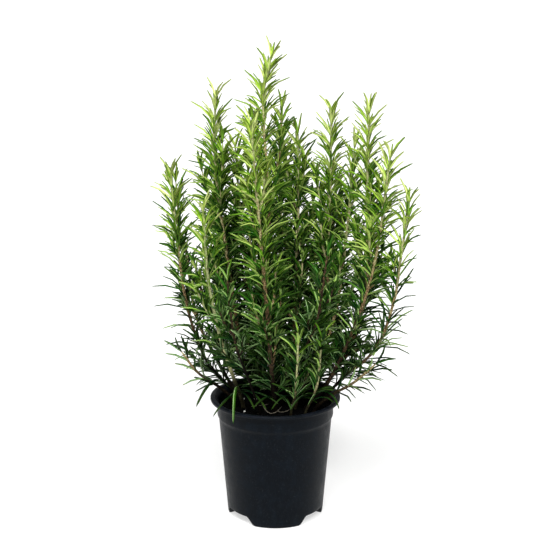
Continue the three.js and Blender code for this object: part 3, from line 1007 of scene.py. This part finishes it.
def stemShoots(stem, number):
    sizes = stemSizes
    line = stemLine(stem["path"], sizes)
    length = line[1][-1]
    top = stem["path"][-1][2]
    bare = distanceAtHeight(line, stem["leafFrom"])
    vigour = stem.get("vigour", 1)
    apart, thin, opened = stem.get("apart", 1), stem.get("thin", (1, 0)), stem.get("open", (0, 0))
    radii = (stem.get("radius", sizes["rootRadius"]), sizes["tipRadius"])
    shoots = [shootRows(line, radii, bare, vigour, 0, sizes, apart, thin, opened)]
    sideVigour = sizes["sideVigour"] * vigour
    for height, compass, sideLength, *given in stem.get("side", ()):
        reach = given[0] if given else sideLength * sizes["sideReach"]
        side = sideLine(line, height, compass, sideLength, reach)
        bare = side[1][-1] * sizes["bareSideShare"]
        older = sizes["sideOlder"] * (length - distanceAtHeight(line, height))
        radii = (sizes["sideRadius"], sizes["tipRadius"])
        shoots.append(shootRows(side, radii, bare, sideVigour, older, sizes, apart))
    luck = random.Random(tuftSizes["seed"] + number)
    tufts = int((length - sizes["rootDepth"]) / stem.get("tuftGap", tuftSizes["spacing"]))
    lowest = max(tuftSizes["lowestHeight"], stem["leafFrom"])
    highest = lowest + (top - lowest) * tuftSizes["highestShare"]
    compass = luck.uniform(0, 360)
    for tuft in range(tufts):
        share = (tuft + luck.uniform(*tuftSizes["placePlay"])) / tufts
        height = lowest + (highest - lowest) * share ** tuftSizes["lowerMore"]
        compass += tuftSizes["turn"] + luck.uniform(*tuftSizes["turnPlay"])
        whole, loss = tuftSizes["lengthByPlace"]
        tuftLength = luck.uniform(tuftSizes["shortest"], tuftSizes["longest"]) * (whole - loss * share)
        side = sideLine(line, height, compass, tuftLength, tuftLength * tuftSizes["reachShare"])
        older = tuftSizes["olderShare"] * (length - distanceAtHeight(line, height))
        vigour = luck.uniform(*tuftSizes["vigour"])
        radii = (tuftSizes["radius"], tuftSizes["tipRadius"])
        shoots.append(shootRows(side, radii, 0, vigour, older, sizes, apart))
    return shoots


# Bark: a round tube along every shoot, a little thicker at each joint.
def barkTree():
    tree, given = newGeometryTree("rosemaryBark", {"Sides": "Int", "Joint Swell": "Float", "Bark": "Material"})
    shoots = made(tree, "GeometryNodeMeshToCurve", {"Mesh": given["Geometry"]})
    inputs = {"Resolution": given["Sides"], "Radius": 1.0}
    ring = made(tree, "GeometryNodeCurvePrimitiveCircle", inputs, mode="RADIUS")
    girth = named(tree, "girth") * (named(tree, "isJoint") * given["Joint Swell"] + 1.0)
    inputs = {"Curve": shoots, "Profile Curve": ring, "Scale": girth, "Fill Caps": True}
    closeTree(tree, smoothed(tree, made(tree, "GeometryNodeCurveToMesh", inputs)), given["Bark"])
    return tree


# Lengths in mm, leans and bends in degrees, the play of a single needle in radians.
needleSizes = {
    "seeds": (40, 7),
    "perJoint": 13,
    "tipLength": 28,
    "lowLength": 34,
    "lengthPlay": (-2.2, 2.6),
    "freshReach": 8,
    "freshShorter": 0.16,
    "tuftLength": (0.58, 1.0),
    "tuftLengthByAge": (0.30, 0.72),
    "width": 2.1,
    "thickness": 1.55,
    "plump": (1.22, 1.46),
    "plumpLoss": 0.28,
    "tuftSlimmer": 0.22,
    "ageLength": 62,
    "tipFill": 0.55,
    "fillByAge": 1.3,
    "clusterHeight": 3.2,
    "jointTwist": 0.13,
    "pairTurn": (-0.28, 0.28),
    "tuftTurn": (-0.9, 0.9),
    "startLean": 17,
    "startLeanGain": 30,
    "leanPlay": (-0.12, 0.12),
    "freshUpright": 0.3,
    "tuftLean": (-0.55, 0.10),
    "bend": 32,
    "bendGain": 12,
    "bendPlay": (-0.22, 0.30),
    "leastBend": 0.02,
    "sway": (-0.16, 0.16),
    "roll": (-0.45, 0.45),
    "facesFront": -0.42,
    "rootDepth": 0.7,
    "notUpright": (0.31, 0.95, 0.02),
    "tipRise": 0.05,
    "stations": ((0, 0.50), (0.15, 0.92), (0.58, 0.97), (0.92, 0.60)),
    "section": ((-0.5, 0.04), (-0.27, 0.5), (0, 0.16), (0.27, 0.5), (0.5, 0.04), (0, -0.42)),
}

# How far needles may reach, in mm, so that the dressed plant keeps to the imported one's size.
crownLimits = {"halfWidth": 138, "halfDepth": 106, "overRim": 0.8, "pastRim": 1, "inCollar": 2.5, "overSoil": 1}


# One needle, 1 long, 1 wide and 1 thick, with a grooved top; leafAt keeps its own coordinates.
def makeNeedleShape(sizes):
    leaf = bmesh.new()
    rings = [
        [leaf.verts.new((along, across * width, up * width)) for across, up in sizes["section"]]
        for along, width in sizes["stations"]
    ]
    pointed(leaf, rings, (1, 0, sizes["tipRise"]))
    mesh = meshOf(leaf, "needleShape")
    stamped(mesh, "leafAt", [part for corner in mesh.vertices for part in corner.co], "FLOAT_VECTOR")
    return shown(mesh, "needleShape")


# Needles stand in crossed pairs at the joints, with small ones in the angle between pair and stem.
def needleTree(sizes):
    kinds = {"Needle": "Object", "Leaf": "Material", "Needles per Joint": "Int", "Tip Length": "Float"}
    kinds |= {"Low Length": "Float", "Width": "Float", "Thickness": "Float", "Age Length": "Float"}
    kinds |= {"Tip Fill": "Float", "Seed": "Int"}
    tree, given = newGeometryTree("rosemaryNeedles", kinds)
    seed = given["Seed"]
    inputs = {"Mesh": given["Geometry"], "Selection": named(tree, "isLeafy") > 0.5}
    joints = made(tree, "GeometryNodeMeshToPoints", inputs, mode="VERTICES")
    inputs = {"Geometry": joints, "Amount": given["Needles per Joint"]}
    copies = put(tree, "GeometryNodeDuplicateElements", inputs, domain="POINT")
    copy = Field(copies.outputs["Duplicate Index"])
    isTuft = copy > 1.5
    points = stored(copies.outputs[0], "isTuft", isTuft)
    loose = isTuft * chance(seed, *sizes["tuftTurn"], 1) + chance(seed, *sizes["pairTurn"], 2)
    crossed = named(tree, "joint") * (math.pi / 2 + sizes["jointTwist"])
    points = stored(points, "azimuth", copy * math.pi + crossed + loose)

    # How old the shoot is here, from its bright tip (0) to its woody foot (1).
    toTip = named(tree, "toTip")
    points = stored(points, "age", 1.0 - maths("EXPONENT", toTip / (given["Age Length"] * -1.0)))
    age, isTuft = named(tree, "age"), named(tree, "isTuft")
    scarce = chance(seed, 0.0, 1.0, 15) > age * sizes["fillByAge"] + given["Tip Fill"]
    thinned = chance(seed, 0.0, 1.0, 17) > named(tree, "fill")
    points = without(points, maths("MAXIMUM", scarce, thinned) * isTuft)
    fresh = maths("EXPONENT", toTip / (-sizes["freshReach"] * mm))
    length = age * (given["Low Length"] - given["Tip Length"]) + given["Tip Length"]
    shortest, longest = sizes["lengthPlay"]
    length = (length + chance(seed, shortest * mm, longest * mm, 3)) * named(tree, "vigour")
    length = length * (fresh * -sizes["freshShorter"] + 1.0)
    gain, young = sizes["tuftLengthByAge"]
    small = chance(seed, *sizes["tuftLength"], 4) * (age * gain + young)
    points = stored(points, "leafLength", length * (isTuft * (small - 1.0) + 1.0))
    lean = age * math.radians(sizes["startLeanGain"]) + math.radians(sizes["startLean"])
    lean = (lean + chance(seed, *sizes["leanPlay"], 5)) * (fresh * -sizes["freshUpright"] + 1.0)
    points = stored(points, "lean", lean * (isTuft * chance(seed, *sizes["tuftLean"], 16) + 1.0))
    bend = age * math.radians(sizes["bendGain"]) + math.radians(sizes["bend"])
    bend = bend + chance(seed, *sizes["bendPlay"], 6)
    points = stored(points, "bend", maths("MAXIMUM", bend, sizes["leastBend"]))
    points = stored(points, "sway", chance(seed, *sizes["sway"], 7))
    points = stored(points, "roll", chance(seed, *sizes["roll"], 8))
    points = stored(points, "tint", chance(seed, 0.0, 1.0, 9))
    points = stored(points, "plump", age * -sizes["plumpLoss"] + chance(seed, *sizes["plump"], 10))

    # Directions at the joint: up along the stem, and outwards at the needle's azimuth.
    upward = vectors("NORMALIZE", named(tree, "grow", "FLOAT_VECTOR"))
    level = vectors("NORMALIZE", vectors("CROSS_PRODUCT", upward, sizes["notUpright"]))
    inputs = {"Vector": level, "Axis": upward, "Angle": named(tree, "azimuth")}
    spun = level.through("ShaderNodeVectorRotate", inputs, rotation_type="AXIS_ANGLE")
    points = stored(points, "outward", spun, "FLOAT_VECTOR")
    outward = named(tree, "outward", "FLOAT_VECTOR")
    isFront = outward.parts()[1] < sizes["facesFront"]
    points = without(points, isFront * (chance(seed, 0.0, 1.0, 18) < named(tree, "open")))
    higher = isTuft * chance(seed, 0.0, sizes["clusterHeight"] * mm, 19)
    onBark = outward.scaled(named(tree, "girth") * sizes["rootDepth"])
    points = stored(points, "rootAt", summed(position(tree), onBark, upward.scaled(higher)), "FLOAT_VECTOR")
    points = stored(points, "needleNumber", index(tree), "INT")
    shape = put(tree, "GeometryNodeObjectInfo", {"Object": given["Needle"]}).outputs["Geometry"]
    instances = made(tree, "GeometryNodeInstanceOnPoints", {"Points": points, "Instance": shape})
    realized = made(tree, "GeometryNodeRealizeInstances", {"Geometry": instances})

    # Every point of a needle goes to its place on the needle's arc.
    along, side, up = named(tree, "leafAt", "FLOAT_VECTOR").parts()
    lean, bend, length = named(tree, "lean"), named(tree, "bend"), named(tree, "leafLength")
    leanHere = bend * along + lean
    pace = length / bend
    rise = (sine(leanHere) - sine(lean)) * pace
    reach = (cosine(lean) - cosine(leanHere)) * pace
    across = vectors("NORMALIZE", vectors("CROSS_PRODUCT", upward, outward))
    face = vectors("SUBTRACT", upward.scaled(sine(leanHere)), outward.scaled(cosine(leanHere)))
    roll = named(tree, "roll")
    wide = vectors("SUBTRACT", across.scaled(cosine(roll)), face.scaled(sine(roll)))
    thick = vectors("ADD", face.scaled(cosine(roll)), across.scaled(sine(roll)))
    slim = named(tree, "plump") * (isTuft * -sizes["tuftSlimmer"] + 1.0)
    target = summed(
        named(tree, "rootAt", "FLOAT_VECTOR"),
        upward.scaled(rise),
        outward.scaled(reach),
        wide.scaled(side * given["Width"] * slim),
        across.scaled(along**2.0 * length * named(tree, "sway")),
        thick.scaled(up * given["Thickness"] * slim),
    )
    curved = made(tree, "GeometryNodeSetPosition", {"Geometry": realized, "Position": target})

    # A needle with any point in the pot, in the soil or outside the crown is left out.
    x, y, z = position(tree).parts()
    away = fromAxis(x, y)
    isLow = z < (potSizes["height"] + crownLimits["overRim"]) * mm
    isInside = away < (potSizes["rimRadius"] + crownLimits["pastRim"]) * mm
    isWall = away > (potSizes["collarRadius"] - crownLimits["inCollar"]) * mm
    isSoil = z < (soilSizes["top"] + crownLimits["overSoil"]) * mm
    farSide = maths("ABSOLUTE", x) > crownLimits["halfWidth"] * mm
    farDeep = maths("ABSOLUTE", y) > crownLimits["halfDepth"] * mm
    isBuried = isLow * isInside * maths("MAXIMUM", isWall, isSoil)
    isOut = maths("MAXIMUM", isBuried, maths("MAXIMUM", farSide, farDeep))
    inputs = {"Value": isOut, "Group ID": named(tree, "needleNumber", "INT")}
    faults = put(tree, "GeometryNodeAccumulateField", inputs, data_type="FLOAT", domain="POINT")
    kept = without(curved, Field(faults.outputs["Total"]) > 0.5)
    closeTree(tree, smoothed(tree, kept), given["Leaf"])
    return tree


# Ages stand from tip to foot; the value read along them holds the needle's age and painted shade. A range here
# holds from low, from high, to low and to high.
leafFinish = {
    "patterns": (((300, 300, 300), 3.0), ((1900, 1900, 1900), 2.0)),
    "ages": (
        (0.00, (0.440, 0.510, 0.160)),
        (0.20, (0.285, 0.400, 0.050)),
        (0.45, (0.132, 0.272, 0.014)),
        (0.72, (0.012, 0.070, 0.004)),
        (1.00, (0.0008, 0.0095, 0.0024)),
    ),
    "ageLength": 75,
    "lowest": 115,
    "brightHeight": 415,
    "shareOfAge": 0.60,
    "paintedShadeByHeight": 0.51,
    "deepShadeAge": ((170, 0.0), (400, 0.5)),
    "tintAge": (0, 1, 0.32, -0.32),
    "mottleAge": (0.3, 0.7, -0.06, 0.06),
    "pale": (0.26, 0.42, 0.13),
    "paleShare": 0.15,
    "underside": 1.7,
    "undersideAt": (-0.10, -0.30, 0.0, 1.0),
    "paintedLitSide": (-0.4, 0.4, 0.22, 2.10),
    # youngSheen and oldSheen are the colours of painted highlights on the needles
    "youngSheen": (0.54, 0.64, 0.24),
    "oldSheen": (0.46, 0.62, 0.32),
    "sheenAges": (0.3, 0.8, 0.0, 1.0),
    "sheenAt": 0.24,
    "sheenLine": (0.03, 0.12, 1.0, 0.0),
    "sheenTints": (0.54, 0.66, 0.0, 0.85),
    "brightTints": (0.78, 0.84, 0.0, 0.22),
    "dullAges": (0.95, 1.25, 1.0, 0.25),
    "tip": (0.033, 0.072, 0.010),
    "tipAt": (0.30, 0.85, 0.0, 0.70),
    "tipTints": (0.15, 0.90, 1.0, 0.40),
    "base": (0.30, 0.44, 0.08),
    "baseAt": (0.0, 0.30, 0.6, 0.0),
    "baseAges": (0.3, 0.75, 1.0, 0.05),
    "dryTip": (0.16, 0.09, 0.03),
    "dryAt": (0.86, 1.0, 0.0, 1.0),
    "dryTints": (0.955, 0.97, 0.0, 0.8),
    "roughness": 0.28,
    "gloss": 0.02,
    "bump": (0.0001, 0.5),
}


def leafGreen(finish):
    material, tree, shader = newMaterial("rosemaryLeaf")
    along, side, up = attribute(tree, "leafAt", "Vector").parts()
    tint, belowTip = attribute(tree, "tint"), attribute(tree, "belowTip")
    mottle, pits = (noisePattern(tree, *pattern) for pattern in finish["patterns"])
    # Needles are painted darker the lower they stand, up to brightHeight: painted shade in the lower crown.
    height = objectPlace(tree).parts()[2]
    depth = height.spread(finish["lowest"] * mm, finish["brightHeight"] * mm, finish["paintedShadeByHeight"], 0.0)
    age = 1.0 - maths("EXPONENT", belowTip / (-finish["ageLength"] * mm))
    # Needles far below their tip are darkened further: partly age, mostly painted shade for the stems set older
    # at the back and low inside.
    (deepFrom, few), (deepTo, most) = finish["deepShadeAge"]
    age = age * finish["shareOfAge"] + depth + belowTip.spread(deepFrom * mm, deepTo * mm, few, most)
    older = age + tint.spread(*finish["tintAge"]) + mottle.spread(*finish["mottleAge"])
    base = ramp(older, finish["ages"])
    pale = blended(tree, finish["paleShare"], base.scaled(finish["underside"]), finish["pale"])
    # One side of each needle is painted lighter and the other darker: a painted highlight and painted shade, as
    # if lit from one side.
    base = base.scaled(side.spread(*finish["paintedLitSide"]))
    base = blended(tree, up.spread(*finish["undersideAt"]), base, pale)
    # Painted highlights: a light line beside the groove on some needles and a few whole needles painted bright,
    # in a sheen colour by age, fewer on the oldest.
    line = maths("ABSOLUTE", side - finish["sheenAt"]).spread(*finish["sheenLine"])
    line = line * tint.spread(*finish["sheenTints"])
    line = maths("MAXIMUM", line, tint.spread(*finish["brightTints"])) * older.spread(*finish["dullAges"])
    sheen = blended(tree, older.spread(*finish["sheenAges"]), finish["youngSheen"], finish["oldSheen"])
    base = blended(tree, line, base, sheen)
    dark = along.spread(*finish["tipAt"]) * tint.spread(*finish["tipTints"])
    base = blended(tree, dark, base, finish["tip"])
    foot = along.spread(*finish["baseAt"]) * older.spread(*finish["baseAges"])
    base = blended(tree, foot, base, finish["base"])
    dry = along.spread(*finish["dryAt"]) * tint.spread(*finish["dryTints"])
    base = blended(tree, dry, base, finish["dryTip"])
    finished(shader, finish, base, pits)
    return material


barkFinish = {
    "patterns": (((1500, 1500, 130), 5.0), ((210, 210, 110), 3.0)),
    "ages": (
        (0.00, (0.40, 0.50, 0.19)),
        (0.20, (0.56, 0.58, 0.29)),
        (0.40, (0.56, 0.50, 0.25)),
        (0.55, (0.35, 0.235, 0.105)),
        (0.75, (0.13, 0.082, 0.040)),
        (1.00, (0.030, 0.020, 0.014)),
    ),
    "fullAge": 0.30,
    "patches": (0.3, 0.7, -0.30, 0.30),
    "fibres": (0.35, 0.65, 0.28, 1.25),
    "scar": (0.10, 0.07, 0.03),
    "scarAt": (0.5, 1.0, 0.0, 0.65),
    "roughness": 0.65,
    "gloss": 0.05,
    "bump": (0.0005, 0.7),
}


def barkBrown(finish):
    material, tree, shader = newMaterial("rosemaryBark")
    fibres, patches = (noisePattern(tree, *pattern) for pattern in finish["patterns"])
    old = attribute(tree, "barkAge").spread(0.0, finish["fullAge"], 0.0, 1.0)
    old = old + patches.spread(*finish["patches"])
    dark = fibres.spread(*finish["fibres"])
    grey = made(tree, "ShaderNodeCombineColor", {0: dark, 1: dark, 2: dark})
    base = blended(tree, 1.0, ramp(old, finish["ages"]), grey, "MULTIPLY")
    base = blended(tree, attribute(tree, "isJoint").spread(*finish["scarAt"]), base, finish["scar"])
    finished(shader, finish, base.scaled(attribute(tree, "shade")), fibres)
    return material


# Long needles over the soil and the rim: how far below a tip each one looks, its share of the width,
# its tint, and its start, middle and end.
# The large first numbers paint most of these low needles dark: painted shade over the soil.
hangingNeedles = {
    "paths": (
        (60, 1.2, 0.66, (-37, -15, 137), (-40, -46, 149), (-40, -68, 117)),
        (230, 1.4, 0.50, (-56, 2, 139), (-66, -18, 147), (-77, -42, 125)),
        (150, 0.8, 0.55, (-53, 5, 138), (-62, -8, 148), (-75, -20, 142)),
        (230, 1.0, 0.40, (-36, -18, 131), (-46, -48, 142), (-60, -62, 122)),
        (60, 1.0, 0.25, (46, -27, 136), (58, -40, 142), (62, -44, 123)),
        (300, 1.1, 0.62, (-34, -13, 131), (-14, -30, 140), (4, -40, 127)),
        (280, 1.0, 0.35, (-33, -14, 134), (-19, -36, 141), (-8, -51, 125)),
        (320, 1.1, 0.66, (-32, -12, 138), (-8, -22, 146), (12, -36, 127)),
        (300, 0.9, 0.60, (-32, -11, 135), (-14, -16, 143), (2, -22, 131)),
        (300, 0.9, 0.30, (-33, -14, 130), (-27, -30, 137), (-20, -46, 124)),
        (260, 0.9, 0.58, (-34, -15, 136), (-24, -24, 147), (-12, -30, 140)),
        (320, 0.9, 0.35, (18, -43, 136), (6, -47, 143), (-4, -56, 127)),
        (300, 0.9, 0.64, (30, -38, 136), (22, -52, 141), (14, -60, 128)),
        (170, 0.8, 0.72, (44, -38, 140), (38, -46, 143), (31, -50, 129)),
        (260, 0.9, 0.60, (35, -40, 134), (48, -40, 146), (59, -37, 141)),
        (280, 0.9, 0.40, (36, -42, 132), (48, -46, 142), (57, -50, 132)),
        (330, 1.1, 0.52, (-2, -30, 131), (-10, -44, 140), (-22, -52, 127)),
        (330, 1.1, 0.60, (3, -30, 133), (10, -44, 141), (16, -54, 126)),
        (320, 1.0, 0.66, (-30, -10, 131), (-40, -28, 140), (-50, -34, 126)),
    ),
    "width": 2.9,
    "thickness": 1.2,
    "shares": (0, 0.08, 0.2, 0.35, 0.5, 0.65, 0.8, 0.92),
}
curledStrands = {
    **hangingNeedles,
    "paths": (
        (0, 0.50, 0.5, (-13, -12, 118), (-5, -57, 115), (7, -17, 118)),
        (0, 0.40, 0.5, (2, -30, 117), (8, -42, 118), (16, -22, 117)),
        (0, 0.35, 0.5, (-24, -14, 116), (-14, -22, 120), (-6, -10, 117)),
    ),
}


def makeHangingNeedles(sizes, shape, material, name):
    skin = bmesh.new()
    facts, tints, ages = [], [], []
    alongs, widths = zip(*shape["stations"])
    corners = len(sizes["shares"]) * len(shape["section"]) + 1
    for belowTip, widthShare, tint, *knots in sizes["paths"]:
        start, middle, end = (Vector(knot) for knot in knots)
        rings = []
        for share in sizes["shares"]:
            place = start * (1 - share) ** 2 + middle * 2 * share * (1 - share) + end * share**2
            ahead = ((middle - start) * (1 - share) + (end - middle) * share).normalized()
            across = ahead.cross(Vector((0, 0, 1))).normalized()
            face = across.cross(ahead)
            width = float(np.interp(share, alongs, widths)) * widthShare
            ring = []
            for side, up in shape["section"]:
                outwards = (across * side * sizes["width"] + face * up * sizes["thickness"]) * width
                ring.append(skin.verts.new((place + outwards) * mm))
                facts += [share, side, up]
            rings.append(ring)
        pointed(skin, rings, end * mm)
        facts += [1, 0, 0]
        tints += [tint] * corners
        ages += [belowTip * mm] * corners
    mesh = meshOf(skin, name, True)
    stamped(mesh, "leafAt", facts, "FLOAT_VECTOR")
    stamped(mesh, "tint", tints)
    stamped(mesh, "belowTip", ages)
    mesh.materials.append(material)
    return shown(mesh, name)


bark, leaves = barkTree(), needleTree(needleSizes)
barkPaint, leafPaint = barkBrown(barkFinish), leafGreen(leafFinish)
needleShape = makeNeedleShape(needleSizes)
helperFacts = ("isTuft", "azimuth", "leafLength", "lean", "bend", "sway", "roll", "plump", "outward")
helperFacts += ("rootAt", "needleNumber", "grow", "girth", "joint", "isLeafy", "vigour", "fill", "open")
plantPieces = []
needleFaces = 0
firstSeed, seedStep = needleSizes["seeds"]
for number, (name, stem) in enumerate(stems.items()):
    guide = makeGuide(name, stem, stemShoots(stem, number))
    values = {"Sides": stemSizes["sides"], "Joint Swell": stemSizes["jointSwell"], "Bark": barkPaint}
    wood = grown(guide, bark, values, "wood_" + name)
    values = {
        "Needle": needleShape,
        "Leaf": leafPaint,
        "Needles per Joint": needleSizes["perJoint"],
        "Tip Length": needleSizes["tipLength"] * mm,
        "Low Length": needleSizes["lowLength"] * mm,
        "Width": needleSizes["width"] * mm,
        "Thickness": needleSizes["thickness"] * mm,
        "Age Length": needleSizes["ageLength"] * mm,
        "Tip Fill": needleSizes["tipFill"],
        "Seed": firstSeed + seedStep * number,
    }
    needles = grown(guide, leaves, values, "needles_" + name)
    dropped(guide)
    for piece in (wood, needles):
        for fact in helperFacts + (("barkAge", "shade") if piece == needles else ()):
            if fact in piece.data.attributes:
                piece.data.attributes.remove(piece.data.attributes[fact])
    needleFaces += len(needles.data.polygons)
    plantPieces.append((wood, needles, "stem_" + name))
facesPerNeedle = len(needleShape.data.polygons)
dropped(needleShape)
hanging = makeHangingNeedles(hangingNeedles, needleSizes, leafPaint, "hanging_needles")
curls = makeHangingNeedles(curledStrands, needleSizes, fibre, "curled_strands")
print("stems grown,", len(plantPieces), "stems and", needleFaces // facesPerNeedle, "needles")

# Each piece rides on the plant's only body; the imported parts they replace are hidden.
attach(pot, "root")
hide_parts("pot")
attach(soil, "root")
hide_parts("soil")
for piece in (crumbs, perlite, strands, pearlInFront, curls):
    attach(piece, "root")
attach(hanging, "root")
for wood, needles, node in plantPieces:
    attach(wood, "root")
    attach(needles, "root")
    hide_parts(node)
    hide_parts(node)

# A pale studio: a wide floor, a white surround and large soft lamps.
studio = {
    "floorSize": 60,
    "floorColour": (0.93, 0.93, 0.925),
    "floorShade": 0.99,
    "floorPattern": ((3, 3, 3), 2.0),
    "floorRoughness": 0.9,
    "floorPaint": 0.50,
    "floorGlow": 0.62,
    "wallRadius": 18,
    "wallWhiteTo": 4.7,
    "wallTop": 7,
    "wallSides": 96,
    "surround": 0.10,
    "lamps": (
        ("keyLamp", (-0.35, -0.9, 1.55), 3.05, 32),
        ("sheenLamp", (0.25, -1.1, 1.35), 2.0, 9),
        ("fillLamp", (1.2, -0.6, 1.0), 0.4, 60),
        ("backLamp", (-0.5, 1.2, 1.3), 0.6, 60),
    ),
    "aim": (0, 0, 0.24),
}


# A low round wall far away, so that the view ends in white above the floor too.
def makeWall(settings):
    material, tree, shader = newMaterial("whiteWall")
    height = objectPlace(tree).parts()[2]
    glow = height.spread(settings["wallWhiteTo"], settings["wallTop"], 1.0, settings["surround"])
    feed(shader, {"Base Color": (0, 0, 0), "Specular IOR Level": 0.0})
    feed(shader, {"Emission Color": (1, 1, 1), "Emission Strength": glow})
    corners, faces = [], []
    count = settings["wallSides"]
    for step in range(count):
        angle = turn * step / count
        x, y = settings["wallRadius"] * math.cos(angle), settings["wallRadius"] * math.sin(angle)
        corners += [(x, y, 0), (x, y, settings["wallTop"])]
        low, after = 2 * step, 2 * ((step + 1) % count)
        faces.append((low, low + 1, after + 1, after))
    mesh = bpy.data.meshes.new("studio_wall")
    mesh.from_pydata(corners, [], faces)
    mesh.materials.append(material)
    shown(mesh, "studio_wall")


def makeStudio(settings):
    makeWall(settings)
    half = settings["floorSize"] / 2
    mesh = bpy.data.meshes.new("studio_floor")
    corners = [(-half, -half, 0), (half, -half, 0), (half, half, 0), (-half, half, 0)]
    mesh.from_pydata(corners, [], [(0, 1, 2, 3)])
    floor = shown(mesh, "studio_floor")
    material, tree, shader = newMaterial("paleFloor")
    pale = settings["floorColour"]
    dimmer = tuple(part * settings["floorShade"] for part in pale)
    base = ramp(noisePattern(tree, *settings["floorPattern"]), [(0.3, dimmer), (0.7, pale)])
    feed(shader, {"Base Color": base.scaled(settings["floorPaint"]), "Roughness": settings["floorRoughness"]})
    feed(shader, {"Emission Color": base, "Emission Strength": settings["floorGlow"]})
    mesh.materials.append(material)
    world = bpy.data.worlds.new("whiteSurround")
    world.use_nodes = True
    feed(world.node_tree.nodes["Background"], {"Color": (1, 1, 1), "Strength": settings["surround"]})
    bpy.context.scene.world = world
    for name, place, power, softness in settings["lamps"]:
        lamp = bpy.data.lights.new(name, "SUN")
        lamp.energy = power
        lamp.angle = math.radians(softness)
        light = bpy.data.objects.new(name, lamp)
        light.location = place
        towards = Vector(settings["aim"]) - Vector(place)
        light.rotation_euler = towards.to_track_quat("-Z", "Y").to_euler()
        bpy.context.scene.collection.objects.link(light)
    bpy.context.scene.view_settings.view_transform = "Standard"


makeStudio(studio)
print("studio lit")
